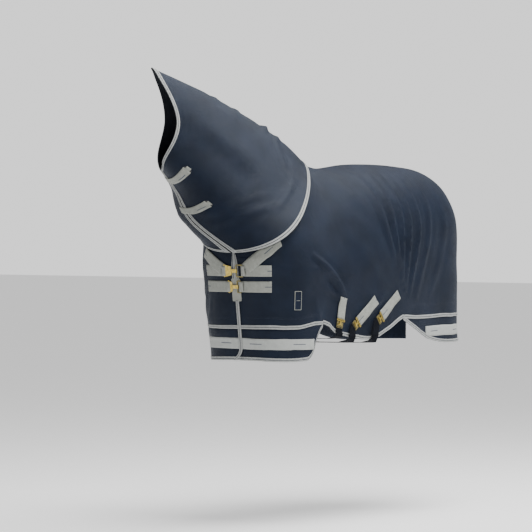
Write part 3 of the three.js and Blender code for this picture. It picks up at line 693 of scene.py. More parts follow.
def cast(name, dark, light, roughness):
    look, tree, shader = nodes_of(name, light, roughness, metallic=1.0)
    cloud = noise(tree, 90, 6)
    tree.links.new(ramp(tree, cloud, (0.35, dark), (0.65, light)), shader.inputs["Base Color"])
    uneven_roughness(tree, shader, noise(tree, 200, 4), roughness - 0.1, roughness + 0.15)
    bump(tree, shader, (noise(tree, 350, 3), 0.00015))
    return look


def plain_cloth(name, dark, light):
    """Matt cloth coloured by the place alone, for pieces with no flat layout."""
    look, tree, shader = nodes_of(name, light, 0.8, specular=0.1)
    tree.links.new(ramp(tree, noise(tree, 60, 4), (0.35, dark), (0.65, light)),
                   shader.inputs["Base Color"])
    bump(tree, shader, (noise(tree, 400, 2), 0.0003))
    return look


# Near-black colour for the under-belly straps, with the shade under the belly painted into it.
SHADED_BELLY_STRAP = plain_cloth("belly_strap_painted_shade", (0.0018, 0.0024, 0.0045), (0.004, 0.0052, 0.009))
NAVY = woven("navy_outer", (0.0018, 0.0034, 0.0095), (0.0052, 0.0090, 0.0215), 0.5, 0.0012)
SEAM_NAVY = woven("navy_seam", (0.0024, 0.004, 0.011), (0.0056, 0.0096, 0.024), 0.5, 0.0012)
LINING = woven("black_lining", (0.003, 0.003, 0.005), (0.008, 0.008, 0.011), 0.55, 0.0008)
SILVER = webbing("silver_webbing", (0.20, 0.21, 0.185), (0.32, 0.33, 0.295), 0.0016,
                 print_color=(0.05, 0.06, 0.09), print_step=0.16)
PLAIN_SILVER = webbing("silver_webbing_plain", (0.20, 0.21, 0.185), (0.32, 0.33, 0.295), 0.0016)
BINDING = webbing("silver_binding", (0.23, 0.24, 0.235), (0.38, 0.39, 0.38), 0.0012)
BLACK_WEB = webbing("black_webbing", (0.006, 0.006, 0.008), (0.018, 0.018, 0.022), 0.0016)
REFLECTIVE = webbing("reflective_band", (0.33, 0.345, 0.33), (0.44, 0.46, 0.44), 0.0022,
                     print_color=(0.07, 0.08, 0.11), print_step=0.21)
GOLD = cast("bright_brass", (0.50, 0.36, 0.07), (0.78, 0.60, 0.18), 0.3)
BRASS = cast("aged_brass", (0.16, 0.14, 0.07), (0.36, 0.30, 0.13), 0.4)
THREAD = webbing("pale_thread", (0.17, 0.175, 0.17), (0.26, 0.265, 0.26), 0.0008)
# A lighter copy of the navy thread with a painted highlight, for the stitch boxes high on the neck.
NAVY_THREAD_PAINTED_LIT = webbing("navy_thread_painted_highlight", (0.05, 0.066, 0.1), (0.09, 0.11, 0.16), 0.0008)
DARK_THREAD = webbing("navy_thread", (0.012, 0.017, 0.035), (0.025, 0.034, 0.065), 0.0008)


def finish_piece(obj, body, *nodes, slot=None):
    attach(obj, body)
    if nodes:
        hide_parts(*nodes)
    return obj


# ------------------------------------------------------------ body panels and linings
def columns(start, end, gap=12):
    """Turns between two turns, about as far apart as the cloth's own grid."""
    count = max(int(round((end - start) / TAIL_TURN * 1800 / gap)), 2)
    return np.linspace(start, end, count + 1)


SHELL_THICK, FILL_THICK = 2.2, 9.2
for label, side in SIDES:
    surface = rug_surface(side)
    turn, down = np.meshgrid(BODY_COLUMNS, BODY_ROWS)
    share = np.clip(down - 1, 0, 1)
    level = wide_z(turn.ravel()).reshape(turn.shape)
    hem = body_hem(turn.ravel()).reshape(turn.shape)
    body_down = down_of(turn, mix(level, hem, share), side).reshape(turn.shape)
    z_of = trunk(turn, np.where(down > 1, body_down, down), side).reshape(turn.shape + (3,))[..., 2]
    points = surface(turn.ravel(), z_of.ravel()).reshape(turn.shape + (3,))
    shell = solid(f"rug_shell_{label}", points, TRUNK_CORE, -SHELL_THICK, 0, looks=[NAVY])
    finish_piece(shell, "rug", f"outer_shell_{label}", slot="outer_fabric")
    lining = solid(f"rug_lining_{label}", points, TRUNK_CORE, -SHELL_THICK - FILL_THICK,
                   -SHELL_THICK - 0.3, looks=[LINING])
    finish_piece(lining, "rug", f"lining_{label}", f"insulation_{label}", slot="lining_fabric")


# ------------------------------------------------------------ skirts, bands, bindings
def binding_profile(rows):
    """Cross-section of the binding: two raised stripes with a sunk navy line between."""
    across = np.linspace(0, 1, rows)
    return 1.7 + 0.9 * np.abs(np.sin(2 * PI * across)) ** 0.5


BIND_ROWS = 9


def binding_paint(r, c):
    return 1 if r == BIND_ROWS // 2 - 1 or r == BIND_ROWS // 2 else 0


def binding(name, points, core, body, *nodes, low=-0.4, raised=0, slot="binding"):
    high = binding_profile(BIND_ROWS)[:, None] + raised
    obj = solid(name, points, core, low, high, paint=binding_paint, looks=[BINDING, SEAM_NAVY])
    finish_piece(obj, body, *nodes, slot=slot)


BIND_SHARES = np.array([0, 0.12, 0.28, 0.43, 0.5, 0.57, 0.72, 0.88, 1.0])


def bound_edge(name, side, start, end, bottom, body, *nodes):
    """Binding along a hem, its lower edge on it."""
    surface = hanging(side, lambda t: bottom(t) + BIND, bottom)
    binding(name, over(surface, columns(start, end, 9), BIND_SHARES), TRUNK_CORE, body, *nodes)


for label, side in SIDES:
    for name, start, end, bottom in (("front", 1e-4, SKIRT_END_TURN, front_bottom),
                                     ("rear", SKIRT_START_TURN, TAIL_TURN, rear_bottom)):
        skirt_top = lambda t: body_hem(t) - 1
        points = over(hanging(side, skirt_top, bottom), columns(start, end, 10),
                      np.linspace(0, 1, 13))
        skirt = solid(f"{name}_skirt_cloth_{label}", points, TRUNK_CORE, -3.6, 0, looks=[NAVY])
        finish_piece(skirt, "rug", f"{name}_skirt_{label}", slot="outer_fabric")
    bound_edge(f"front_hem_binding_{label}", side, 1e-4, SKIRT_END_TURN, front_bottom, "rug",
               f"front_skirt_binding_{label}")
    bound_edge(f"rear_hem_binding_{label}", side, SKIRT_START_TURN, TAIL_TURN, rear_bottom,
               "rug", f"rear_skirt_binding_{label}")
    bound_edge(f"belly_hem_binding_{label}", side, SKIRT_END_TURN, SKIRT_START_TURN, body_hem,
               "rug", f"belly_binding_{label}")
    seam = lambda t: body_hem(t) - 4
    bound_edge(f"front_seam_piping_{label}", side, 1e-4, SKIRT_END_TURN, seam, "rug")
    bound_edge(f"rear_seam_piping_{label}", side, SKIRT_START_TURN, TAIL_TURN, seam, "rug")

    inset, rear_inset = 53, 38
    front_end = turn_at(SKIRT_END_X - SKIRT_SLANT * 0.52)
    rear_from = turn_at(SKIRT_START_X + SKIRT_SWEEP * 0.62)
    for name, start, end, hem, lift in (("front", 1e-4, front_end, FRONT_HEM, inset),
                                        ("rear", rear_from, TAIL_TURN, REAR_HEM, rear_inset)):
        band = over(hanging(side, lambda t: 0 * t + hem + lift + WEB, lambda t: 0 * t + hem + lift),
                    columns(start, end, 12), np.linspace(0, 1, 7))
        obj = solid(f"reflective_strip_{name}_{label}", band, TRUNK_CORE, 0.2, 1.6,
                    looks=[REFLECTIVE])
        finish_piece(obj, "rug", f"reflective_band_{name}_{label}", slot="reflective_tape")


# Upright bindings down the two front edges, from the neckline to the upper clip
TAB_LONG, CLIP_HIGH = 104, 58
TAB_TOP = LOWER_Z + CLIP_HIGH / 2 + 8
for label, side in SIDES:
    z_top = float(column_top(np.array([0.01]), side)[0, 2]) - 2
    spine = over(rug_surface(side), np.linspace(1e-4, turn_of(BIND + 1), BIND_ROWS),
                 np.linspace(z_top, TAB_TOP - 6, 24))
    spine = np.transpose(spine, (1, 0, 2))
    binding(f"front_edge_binding_{label}", spine, TRUNK_CORE, "rug",
            f"chest_edge_binding_{label}")

# The far front edge laps over the near one below the tab and turns aside at the hem
TURN_ASIDE, ASIDE_FROM = 46, 60
levels = np.linspace(TAB_TOP - TAB_LONG + 4, FRONT_HEM + 2, 50)
past = np.clip((FRONT_HEM + ASIDE_FROM - levels) / ASIDE_FROM, 0, 1)
aside = past ** 2.2 * TURN_ASIDE
middle = np.array([trunk_point((1e-4, z), NEAR) for z in levels])
lap = np.stack([middle + np.array([0, 1, 0]) * (aside + BIND * (share - 0.5))[:, None]
                for share in BIND_SHARES])
lap[..., 0] -= 1.2
binding("front_lap_binding", lap, TRUNK_CORE, "rug", low=-0.6, raised=0.6)


# ------------------------------------------------------------ tapes on the trunk
TAPE_THICK = 2.2
STITCH_STEP, STITCH_LONG = 4.4, 3.0


def tape_surface(side, start, end):
    """Straight tape on the trunk: share along it, offset across it in mm."""
    middle = np.array([(start[0] + end[0]) / 2])
    z = np.array([(start[1] + end[1]) / 2])
    a, b = (trunk(middle + s, down_of(middle + s, z, side), side)[0] for s in (-0.02, 0.02))
    arc = np.linalg.norm(b - a) / 0.04
    run = np.array([(end[0] - start[0]) * arc, end[1] - start[1]])
    run /= np.linalg.norm(run)
    surface = rug_surface(side)

    def place(share, offset):
        turn = mix(start[0], end[0], share) - offset * run[1] / arc
        return surface(np.maximum(turn, 1e-4), mix(start[1], end[1], share) + offset * run[0])
    return place


def tape(name, side, start, end, low, body, node_name, lift=0.0):
    """Silver tape from start to end; returns its surface and its length in mm."""
    surface = tape_surface(side, start, end)
    length = np.linalg.norm(trunk_point(end, side) - trunk_point(start, side))
    shares = np.linspace(0, 1, max(int(length / 9), 4))
    across = np.linspace(-WEB / 2, WEB / 2, 7)
    points = over(surface, shares, across)
    rise = low + lift * shares[None, :]
    obj = solid(name, points, TRUNK_CORE, rise, rise + TAPE_THICK, looks=[SILVER])
    finish_piece(obj, body, node_name, slot="webbing")
    return surface, length


def stitch_rows(name, surface, core, length, paths, low, body, look, lift=0.0):
    """Threads along paths given as pairs of (distance along, offset) in mm."""
    starts, ends = [], []
    for (s0, o0), (s1, o1) in paths:
        reach = math.hypot(s1 - s0, o1 - o0)
        for i in range(max(int(reach / STITCH_STEP), 1)):
            a = i * STITCH_STEP / reach
            b = min((i * STITCH_STEP + STITCH_LONG) / reach, 1)
            starts.append((mix(s0, s1, a) / length, mix(o0, o1, a)))
            ends.append((mix(s0, s1, b) / length, mix(o0, o1, b)))
    starts, ends = np.array(starts), np.array(ends)
    p, q = surface(*starts.T), surface(*ends.T)
    along = surface(starts[:, 0] + 0.01, starts[:, 1]) - p
    across = surface(starts[:, 0], starts[:, 1] + 1) - p
    normal = unit(np.cross(along, across))
    normal *= np.sign(((p - core) * normal).sum(1))[:, None]
    height = (low + lift * starts[:, 0])[:, None]
    threads(name, p + normal * height, q + normal * height, normal, body, look)


def threads(name, p, q, normal, body, look, wide=0.9, high=0.5):
    """One mesh of short raised threads from p to q."""
    side = unit(np.cross(q - p, normal))
    middle = (p + q) / 2
    ring = [p, middle - side * wide / 2, q, middle + side * wide / 2,
            middle + normal * high, middle - normal * 0.3]
    points = np.stack(ring, 1).reshape(-1, 3)
    faces = []
    for i in range(0, len(points), 6):
        for a, b in ((0, 1), (1, 2), (2, 3), (3, 0)):
            faces += [(i + a, i + b, i + 4), (i + b, i + a, i + 5)]
    mesh = bpy.data.meshes.new(name)
    mesh.from_pydata((points * MM).tolist(), [], faces)
    mesh.materials.append(look)
    mesh.uv_layers.new(name="cloth")
    obj = place_object(name, mesh)
    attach(obj, body)


def box_stitch(start, end, half, cross=True):
    """Rectangle of stitches between two distances, with a cross in it."""
    corners = [(start, -half), (end, -half), (end, half), (start, half)]
    lines = [(corners[i], corners[(i + 1) % 4]) for i in range(4)]
    return lines + ([(corners[0], corners[2]), (corners[1], corners[3])] if cross else [])


CLIPS = [{"name": "upper", "z": UPPER_Z, "ring": 40, "plate": 42},
         {"name": "lower", "z": LOWER_Z, "ring": 24, "plate": 22}]
RING_START, HOOK_START, TAPE_END = 8, 18, 0.322
DIAGONALS = {"left": (0.402, 130), "right": (0.34, 84)}
STITCH_IN = 4


def side_lines(length, start=0):
    """Stitch lines along both edges of a tape."""
    edge = WEB / 2 - STITCH_IN
    return [((start, s * edge), (length - STITCH_IN, s * edge)) for s in (-1, 1)]


for label, side in SIDES:
    for clip, node_name in zip(CLIPS, ("chest_tape_upper", "chest_strap_lower")):
        reach = RING_START + clip["ring"] + 1 if side == NEAR else HOOK_START + clip["plate"] + 1
        start = (turn_of(reach), clip["z"])
        end = (TAPE_END, clip["z"])
        surface, length = tape(f"{node_name}_web_{label}", side, start, end, 1.0, "rug",
                               f"{node_name}_{label}")
        paths = side_lines(length) + box_stitch(length - 46, length - STITCH_IN, 21, False)
        stitch_rows(f"{node_name}_stitches_{label}", surface, TRUNK_CORE, length, paths, 3.2,
                    "rug", THREAD)
    turn_end, rise = DIAGONALS[label]
    upper = CLIPS[0]
    reach = 10 + (RING_START + upper["ring"] if side == NEAR else HOOK_START + upper["plate"])
    start, end = (turn_of(reach), UPPER_Z + 6), (turn_end, UPPER_Z + rise)
    surface, length = tape(f"chest_diagonal_{label}", side, start, end, 3.6, "rug",
                           f"chest_strap_upper_{label}")
    paths = side_lines(length) + box_stitch(length - 48, length - STITCH_IN, 21, False)
    stitch_rows(f"chest_diagonal_stitches_{label}", surface, TRUNK_CORE, length, paths, 5.8,
                "rug", THREAD)


# ------------------------------------------------------------ chest clips and centre tab
def stand_on(z):
    """Origin and axes of the clips' plane at a height on the middle of the chest."""
    a, h = np.array([1e-4]), np.array([float(LOWER_Z)])
    near = lambda t, zz: trunk(t, down_of(t, zz, NEAR), NEAR)[0]
    up = near(a, h + 4) - near(a, h - 4)
    up[1] = 0
    up /= np.linalg.norm(up)
    normal = np.cross(up, [0, -1, 0])
    normal *= np.sign(-normal[0])
    x = np.cross(up, normal)
    return trunk_point((1e-4, z), NEAR), x / np.linalg.norm(x), up, normal


def bevel(obj, width, look, segments=3):
    made = obj.modifiers.new("rounding", "BEVEL")
    made.width = width
    made.segments = segments
    made.limit_method = "ANGLE"
    made.angle_limit = math.radians(35)
    obj.data.materials.clear()
    obj.data.materials.append(look)


def flat_piece(name, place, outline_points, low, high, body, look, *nodes, slot=None, soft=0.6):
    """Rounded flat piece in the plane (origin, x, y, normal), from low to high."""
    origin, x, y, normal = place
    points = [origin + x * a + y * b + normal * h for h in (low, high) for a, b in outline_points]
    n = len(outline_points)
    faces = [tuple(range(n))[::-1], tuple(range(n, 2 * n))]
    faces += [(i, (i + 1) % n, (i + 1) % n + n, i + n) for i in range(n)]
    mesh = bpy.data.meshes.new(name)
    mesh.from_pydata([tuple(p * MM) for p in points], [], faces)
    layer = mesh.uv_layers.new(name="cloth")
    for loop in mesh.loops:
        a, b = outline_points[loop.vertex_index % n]
        layer.data[loop.index].uv = (b * MM + 0.06, a * MM + WEB / 2 * MM)
    obj = place_object(name, mesh)
    bevel(obj, soft * MM, look, 2)
    return finish_piece(obj, body, *nodes, slot=slot)


def rectangle(wide, high, radius=0.0, centre=(0, 0)):
    if radius == 0:
        corners = [(-1, -1), (1, -1), (1, 1), (-1, 1)]
        return [(centre[0] + a * wide / 2, centre[1] + b * high / 2) for a, b in corners]
    points = []
    for number, (a, b) in enumerate(((1, 1), (-1, 1), (-1, -1), (1, -1))):
        for step in range(5):
            angle = (number + step / 4) * PI / 2
            points.append((centre[0] + a * (wide / 2 - radius) + radius * math.cos(angle),
                           centre[1] + b * (high / 2 - radius) + radius * math.sin(angle)))
    return points


tab_z = TAB_TOP - TAB_LONG / 2
tab_place = stand_on(tab_z)
flat_piece("centre_tab_cloth", tab_place, rectangle(WEB, TAB_LONG, 6), 0.8, 2.8, "rug",
           PLAIN_SILVER, "chest_centre_tab", slot="webbing")

for clip in CLIPS:
    for kind, look in (("ring", BRASS), ("hook", GOLD)):
        bevel(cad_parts[f"chest_{kind}_{clip['name']}"], 0.8 * MM, look)


def wrap(name, place, bar_at, reach, low, high, wide=46):
    """Webbing folded round a bar at bar_at: out over it and back, reach long."""
    origin, x, y, normal = place
    sign = 1 if reach > bar_at else -1
    middle, half = (low + high) / 2, (high - low) / 2
    bend = [(bar_at - sign * half * math.sin(a), middle + half * math.cos(a))
            for a in np.linspace(0, PI, 9)]
    path = [(reach, high - 1.2)] + [(mix(reach, bar_at, 0.4), high)] + bend + [(reach, low)]
    across = np.linspace(-wide / 2, wide / 2, 5)
    points = np.array([[origin + x * a + normal * h + y * b for a, h in path] for b in across])
    core = origin + x * (bar_at + sign * half) + normal * middle
    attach(solid(name, points, core, 0, 1.6, looks=[PLAIN_SILVER]), "rug")


for clip in CLIPS:
    place = stand_on(clip["z"])
    outer_bar = RING_START + clip["ring"] - 2.5
    wrap(f"ring_loop_{clip['name']}", place, outer_bar - 3.4, outer_bar + 13, 2.2, 8.6)
    hook_bar = -HOOK_START - clip["plate"] + 2
    wrap(f"hook_loop_{clip['name']}", place, hook_bar + 3.2, hook_bar - 12, 2.2, 7.6)


# ------------------------------------------------------------ belly straps and brass
STRAP_LIFT = 4.2    # how much further off the rug a strap's loose end lies
for strap in STRAPS:
    name = strap["name"]
    body = f"belly_strap_{name}"
    surface, length = tape(f"belly_strap_web_{name}", NEAR, strap["top"], strap["bottom"], 1.2,
                           body, body, lift=STRAP_LIFT)
    stitch_rows(f"belly_strap_stitches_{name}", surface, TRUNK_CORE, length,
                box_stitch(5, 42, 20), 3.4, body, THREAD, lift=STRAP_LIFT)
    bevel(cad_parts[f"t_hook_{name}"], 0.7 * MM, GOLD)
    bevel(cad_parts[f"slot_plate_{name}"], 0.6 * MM, BRASS)
    # The under-belly strap takes the near-black colour that paints in the shade under the belly.
    bevel(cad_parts[f"under_belly_strap_{name}"], 0.5 * MM, SHADED_BELLY_STRAP)


# ------------------------------------------------------------ tail flap
FLAP_HALF = PI - TAIL_TURN
FLAP_BOTTOM = -600


def flap_surface(across, down):
    turn = PI - np.abs(across) * FLAP_HALF
    points = []
    for side in (NEAR, FAR):
        below = down_of(turn, mix(wide_z(turn), FLAP_BOTTOM, np.clip(down - 1, 0, 1)), side)
        points.append(trunk(turn, np.where(down <= 1, down, below), side))
    return np.where((across < 0)[:, None], points[0], points[1])


flap_edge = 1 + 0.03 / FLAP_HALF
flap_across = np.linspace(-flap_edge, flap_edge, 25)
flap_points = over(flap_surface, flap_across,
                   np.concatenate([np.linspace(0.1, 1, 28), np.linspace(1, 2, 14)[1:]]))
flap = solid("tail_flap_cloth", flap_points, TRUNK_CORE, 2.4, 5.6, looks=[NAVY])
finish_piece(flap, "tail_flap", "tail_flap", slot="outer_fabric")
flap_hem = over(flap_surface, flap_across, 2 - BIND_SHARES[::-1] * 0.08)
binding("tail_flap_binding", flap_hem, TRUNK_CORE, "tail_flap", low=5.2, raised=4.4, slot=None)


# ------------------------------------------------------------ label
LABEL_TURN, LABEL_Z = 0.628, -612
label_middle = trunk_point((LABEL_TURN, LABEL_Z), NEAR)


def across_label(turn, z):
    """Unit direction through the label's middle, stepping by a turn and a height each way."""
    ends = [trunk_point((LABEL_TURN + s * turn, LABEL_Z + s * z), NEAR) for s in (1, -1)]
    return (ends[0] - ends[1]) / np.linalg.norm(ends[0] - ends[1])


label_up = across_label(0, 10)
label_x = across_label(0.02, 0)
label_x -= label_up * label_x.dot(label_up)
label_x /= np.linalg.norm(label_x)
label_out = np.cross(label_x, label_up)
label_out *= np.sign((label_middle - TRUNK_CORE).dot(label_out))
label_base = rug_surface(NEAR)(np.array([LABEL_TURN]), np.array([float(LABEL_Z)]))[0]
label_place = (label_base, label_x, label_up, label_out)
flat_piece("label_backing", label_place, rectangle(36, 86, 3, (0, 0)), 0.5, 2.6, "rug",
           PLAIN_SILVER, "label_patch", slot="label")
flat_piece("label_face", label_place, rectangle(31, 81, 2, (0, 0)), 2.5, 3.1, "rug", SEAM_NAVY)
flat_piece("label_line", label_place, rectangle(18, 2, 0, (0, 0)), 3.0, 3.5, "rug", PLAIN_SILVER,
           soft=0.2)


# ------------------------------------------------------------ neck cover
def round_neck(angle, share):
    """Neck cover surface: angle from the near throat over the crest to the far throat."""
    far = angle > PI
    psi = np.where(far, 2 * PI - angle, angle)
    u = mix(smooth(HEAD_CUT, psi / PI), NECK_HEM_U, share)
    return neck(u, psi, np.where(far, FAR, NEAR))


NECK_ANGLES = np.linspace(THROAT_EDGE, 2 * PI - THROAT_EDGE, 110)
NECK_SHARES = np.linspace(0, 1, 74)

# Folds across the neck: (angle / PI, share along it) points, half width and height in mm
NECK_FOLDS = [
    ([(0.86, 0.60), (0.97, 0.615), (1.08, 0.60)], 14, 15),
    ([(0.80, 0.67), (0.93, 0.70), (1.05, 0.69)], 12, 6),
    ([(0.90, 0.34), (1.0, 0.36), (1.1, 0.35)], 16, 5),
    ([(0.78, 0.44), (0.96, 0.46), (1.06, 0.45)], 15, 6),
    ([(0.10, 0.72), (0.25, 0.74), (0.42, 0.82)], 20, 8),
    ([(0.08, 0.60), (0.22, 0.66), (0.45, 0.74)], 18, 6),
    ([(0.30, 0.86), (0.48, 0.84), (0.62, 0.86)], 18, 5),
    ([(0.86, 0.66), (0.74, 0.70), (0.66, 0.76)], 14, 6),
    ([(0.70, 0.72), (0.62, 0.78), (0.60, 0.84)], 10, 5),
    ([(0.60, 0.20), (0.55, 0.45), (0.50, 0.62)], 45, 6),
    ([(1.55, 0.7), (1.7, 0.72), (1.85, 0.7)], 22, 7),
    ([(1.2, 0.5), (1.4, 0.58), (1.6, 0.6)], 26, 6),
]


NECK_SLACK, NECK_SINK = 0.035, 1.0
HEM_SHARE, THROAT_ANGLE = 0.045, 0.12


def neck_cloth():
    angle, share = np.meshgrid(NECK_ANGLES, NECK_SHARES)
    shape = angle.shape + (3,)
    plain = round_neck(angle.ravel(), share.ravel()).reshape(shape)
    core = neck_core(share * NECK_HEM_U).reshape(shape)
    normals = grid_normals(plain, core)
    flat = plain.reshape(-1, 3)
    lines = [(round_neck(np.array(line)[:, 0] * PI, np.array(line)[:, 1]), wide, high)
             for line, wide, high in NECK_FOLDS]
    lift = (fold_lift(flat, lines) + ripple(flat)).reshape(angle.shape)
    edge = np.minimum(np.clip(share / 0.06, 0, 1), np.clip((1 - share) / 0.06, 0, 1))
    posed = plain + normals * (np.maximum(lift, -2) * edge)[..., None]
    hems = (share < HEM_SHARE) | (share > 1 - HEM_SHARE)
    throat = (angle < THROAT_ANGLE) | (angle > 2 * PI - THROAT_ANGLE)
    hold = np.where(hems | throat, 1.0, 0.0)
    return drape(posed, core, hold, NECK_SLACK, NECK_SINK) - plain


NECK_MOVED = neck_cloth()


def neck_surface(angle, share):
    """The draped neck cover at (angle, share)."""
    return round_neck(angle, share) + between(NECK_MOVED, NECK_ANGLES, NECK_SHARES, angle, share)


def core_for(shares, cols):
    """Middle line of the neck for each row of a grid."""
    row = neck_core(np.asarray(shares) * NECK_HEM_U)
    return np.repeat(row[:, None, :], cols, axis=1)


neck_points = over(neck_surface, NECK_ANGLES, NECK_SHARES)
core = core_for(NECK_SHARES, len(NECK_ANGLES))
shell = solid("neck_cover_cloth", neck_points, core, -1.9, 0, looks=[NAVY])
finish_piece(shell, "neck_cover", "neck_shell_left", "neck_shell_right", slot="outer_fabric")
lining = solid("neck_cover_lining", neck_points, core, -5, -2.1, looks=[LINING])
finish_piece(lining, "neck_cover", "neck_lining_left", "neck_lining_right", slot="lining_fabric")

for name, start, end, replaced in (("head", 0, 0.026, "head_end_binding"),
                                   ("shoulder", 0.974, 1, "shoulder_hem_binding")):
    shares = mix(start, end, BIND_SHARES)
    points = over(neck_surface, NECK_ANGLES, shares)
    binding(f"{name}_binding", points, core_for(shares, len(NECK_ANGLES)), "neck_cover", replaced)

# Binding down both throat edges
for label, angles in (("left", THROAT_EDGE + BIND_SHARES * 0.075),
                      ("right", 2 * PI - THROAT_EDGE - BIND_SHARES * 0.075)):
    shares = np.linspace(0.01, 0.99, 70)
    points = np.transpose(over(neck_surface, angles, shares), (1, 0, 2))
    core_edge = np.transpose(core_for(shares, BIND_ROWS), (1, 0, 2))
    binding(f"throat_binding_{label}", points, core_edge, "neck_cover", slot=None)

# Boxes of stitching on each side of the neck, near the shoulder hem, in navy thread lightened by a
# painted highlight
PATCH = 40
NECK_PATCHES = ((0.72, 0.78), (0.58, 0.86))
for number, (turned, share) in enumerate(NECK_PATCHES):
    for mirror in (NEAR, FAR):
        angle = turned * PI if mirror == NEAR else (2 - turned) * PI
        spot = neck_surface(np.array([angle]), np.array([share]))[0]
        per_angle = np.linalg.norm(neck_surface(np.array([angle + 0.02]), np.array([share]))[0]
                                   - spot) / 0.02
        per_share = np.linalg.norm(neck_surface(np.array([angle]), np.array([share + 0.01]))[0]
                                   - spot) / 0.01
        patch = lambda s, o, a=angle, b=share, pa=per_angle, ps=per_share: neck_surface(
            a + (s - 0.5) * PATCH / pa, b + o / ps)
        stitch_rows(f"neck_tab_stitches_{number}_{'near' if mirror == NEAR else 'far'}", patch,
                    neck_core(np.array([share * NECK_HEM_U]))[0], PATCH,
                    box_stitch(0, PATCH, PATCH / 2), 0.1, "neck_cover", NAVY_THREAD_PAINTED_LIT)

# Facing on the rug under the neck cover
for label, side in SIDES:
    psi = np.linspace(0.03, PI - 0.02, 40)
    u = np.linspace(FACING_TOP_U, NECK_FOOT_U - 0.004, 16)
    points = over(lambda a, b: neck(b, a, side), psi, u)
    middle = np.repeat(neck_core(u)[:, None, :], len(psi), axis=1)
    obj = solid(f"neck_facing_cloth_{label}", points, middle, -NECK_OVERLAP - 3,
                -NECK_OVERLAP - 0.2, looks=[NAVY])
    finish_piece(obj, "rug", f"neck_facing_{label}", slot="outer_fabric")
    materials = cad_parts[f"neck_clip_tab_{label}"].data.materials
    materials.clear()
    materials.append(PLAIN_SILVER)

# Throat straps, each from where it is sewn on the far half to its stepped end on the near one
THROAT = [{"name": "upper", "start": 0.42, "end": 0.83, "psi": 1.0},
          {"name": "lower", "start": 1.66, "end": 1.68, "psi": 0.66}]
THROAT_WIDE, THROAT_START = 48, -0.14


def throat_surface(strap):
    def place(share, offset):
        psi = mix(THROAT_START, strap["psi"], share)
        u = mix(strap["start"], strap["end"], share) + offset * THROAT_WIDE / 2 / 215
        angle = np.where(psi < 0, 2 * PI + psi, psi)
        angle = np.where((angle > PI) & (angle > 2 * PI - THROAT_EDGE), 2 * PI - THROAT_EDGE, angle)
        angle = np.where((angle < PI) & (angle < THROAT_EDGE), THROAT_EDGE, angle)
        cut = smooth(HEAD_CUT, np.abs(psi) / PI)
        draped = neck_surface(angle, (u - cut) / (NECK_HEM_U - cut))
        over_top = angle > PI
        plain = neck(u, np.where(over_top, 2 * PI - angle, angle), np.where(over_top, FAR, NEAR))
        return neck(u, np.abs(psi), np.where(psi < 0, FAR, NEAR)) + draped - plain
    return place


def throat_piece(name, strap, shares, offsets, low, high, look, *nodes):
    points = over(throat_surface(strap), shares, offsets)
    u = mix(strap["start"], strap["end"], shares)
    middle = np.repeat(neck_core(u)[None, :, :], len(offsets), axis=0)
    obj = solid(name, points, middle, low, high, looks=[look])
    finish_piece(obj, f"throat_strap_{strap['name']}", *nodes, slot="webbing")


for strap in THROAT:
    name = f"throat_strap_{strap['name']}"
    throat_piece(f"{name}_web", strap, np.linspace(0, 0.93, 26), np.linspace(-1, 1, 7), 2.0, 4.2,
                 SILVER, name)
    throat_piece(f"{name}_under", strap, np.linspace(0.55, 0.97, 12), np.linspace(-0.86, 0.86, 5),
                 1.2, 2.1, BLACK_WEB)
    throat_piece(f"{name}_end", strap, np.linspace(0.9, 1.0, 5), np.linspace(-0.55, 0.55, 5), 1.6,
                 3.4, PLAIN_SILVER)


# ------------------------------------------------------------ seams
SEAM_POINTS, SEAM_APART = 200, 3.5


def seam(name, surface, path, low=0.1):
    """Two rows of stitches along a path of (turn, height), one each side of a lapped seam."""
    path = np.asarray(path, float)
    steps = np.linspace(0, len(path) - 1, SEAM_POINTS)
    count = np.arange(SEAM_POINTS)
    line = np.stack([hermite(range(len(path)), lambda k, a=a: path[k, a], steps)
                     for a in range(2)], -1)
    points = surface(line[:, 0], line[:, 1])
    lengths = np.concatenate([[0], np.cumsum(np.linalg.norm(np.diff(points, axis=0), axis=1))])
    starts = np.arange(0, lengths[-1], STITCH_STEP)
    even = np.interp(starts, lengths, count)
    later = np.interp(np.minimum(starts + STITCH_LONG, lengths[-1]), lengths, count)
    at = lambda k: np.stack([np.interp(k, count, line[:, a]) for a in range(2)], -1)
    a, b = at(even), at(later)
    p, q = surface(a[:, 0], a[:, 1]), surface(b[:, 0], b[:, 1])
    step_a = surface(a[:, 0] + 0.004, a[:, 1]) - surface(a[:, 0] - 0.004, a[:, 1])
    step_b = surface(a[:, 0], a[:, 1] + 2) - surface(a[:, 0], a[:, 1] - 2)
    normal = unit(np.cross(step_a, step_b))
    normal *= np.sign(((p - TRUNK_CORE) * normal).sum(1))[:, None]
    beside = unit(np.cross(q - p, normal))
    for number, shift in enumerate((-SEAM_APART, SEAM_APART)):
        aside = beside * shift + normal * low
        threads(f"{name}_{number}", p + aside, q + aside, normal, "rug", DARK_THREAD, 1.0, 0.6)


for label, side in SIDES:
    surface = rug_surface(side)
    front = [(t, body_hem(np.array([t]))[0] + 45) for t in np.linspace(0.05, SKIRT_END_TURN, 8)]
    rear = [(t, REAR_SEAM + 62) for t in np.linspace(SKIRT_START_TURN + 0.06, TAIL_TURN - 0.01, 8)]
    rump = [(turn_at(x), z) for x, z in ((673, -114), (710, -176), (850, -232), (964, -282))]
    for name, path in (("front_panel_seam", front), ("rear_panel_seam", rear),
                       ("rump_seam", rump)):
        seam(f"{name}_{label}", surface, path)


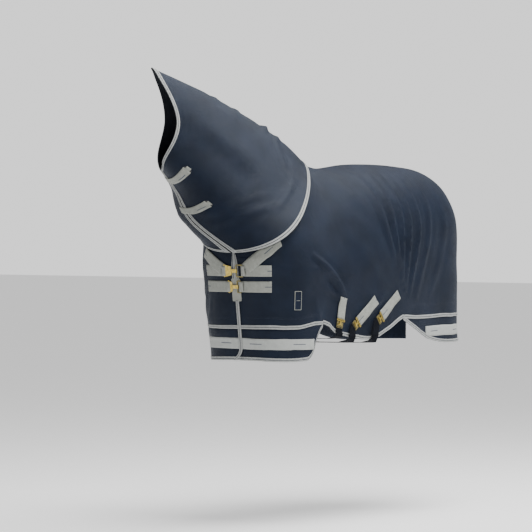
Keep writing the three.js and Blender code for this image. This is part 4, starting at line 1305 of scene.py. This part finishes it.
# ------------------------------------------------------------ floor, light, camera
FLOOR_Z = -1.64
FLOOR_REACH = 40
mesh = bpy.data.meshes.new("floor")
corners = [(a * FLOOR_REACH, b * FLOOR_REACH, FLOOR_Z) for a, b in ((-1, -1), (1, -1), (1, 1), (-1, 1))]
mesh.from_pydata(corners, [], [(0, 1, 2, 3)])
floor = place_object("floor", mesh)
pale, _, pale_shader = nodes_of("pale_floor", (0.9, 0.9, 0.9), 0.9)
pale_shader.inputs["Emission Color"].default_value = (1, 1, 1, 1)
pale_shader.inputs["Emission Strength"].default_value = 0.45
mesh.materials.append(pale)

world = bpy.data.worlds.new("pale_surround")
world.use_nodes = True
sky = world.node_tree.nodes["Background"]
sky.inputs[0].default_value = (1, 1, 1, 1)
seen = world.node_tree.nodes.new("ShaderNodeLightPath")
strength = world.node_tree.nodes.new("ShaderNodeMapRange")
strength.inputs["To Min"].default_value = 0.42
strength.inputs["To Max"].default_value = 1.25
world.node_tree.links.new(seen.outputs["Is Camera Ray"], strength.inputs["Value"])
world.node_tree.links.new(strength.outputs[0], sky.inputs[1])
bpy.context.scene.world = world


def softbox(name, place, target, size, watts):
    light = bpy.data.lights.new(name, "AREA")
    light.shape = "RECTANGLE"
    light.size, light.size_y = size
    light.energy = watts
    obj = place_object(name, light)
    obj.location = place
    aim = Vector(target) - Vector(place)
    obj.rotation_euler = aim.to_track_quat("-Z", "Y").to_euler()


softbox("overhead", (0.6, -1.2, 3.2), (0.1, 0, -0.3), (4.5, 2.6), 420)
softbox("side_fill", (-2.0, -6.0, 1.6), (0.2, 0, -0.5), (3, 3), 110)

LENS = 220.3
CAMERA_AT = Vector((-12.335, -8.817, -0.19))
CAMERA_AIM = Vector((-0.2406, 0.0559, -0.466))
camera = bpy.data.cameras.new("camera")
camera.lens = LENS
camera.sensor_width = 36
camera.clip_end = 200
eye = place_object("camera", camera)
eye.location = CAMERA_AT
eye.rotation_euler = (CAMERA_AIM - CAMERA_AT).to_track_quat("-Z", "Y").to_euler()
bpy.context.scene.camera = eye
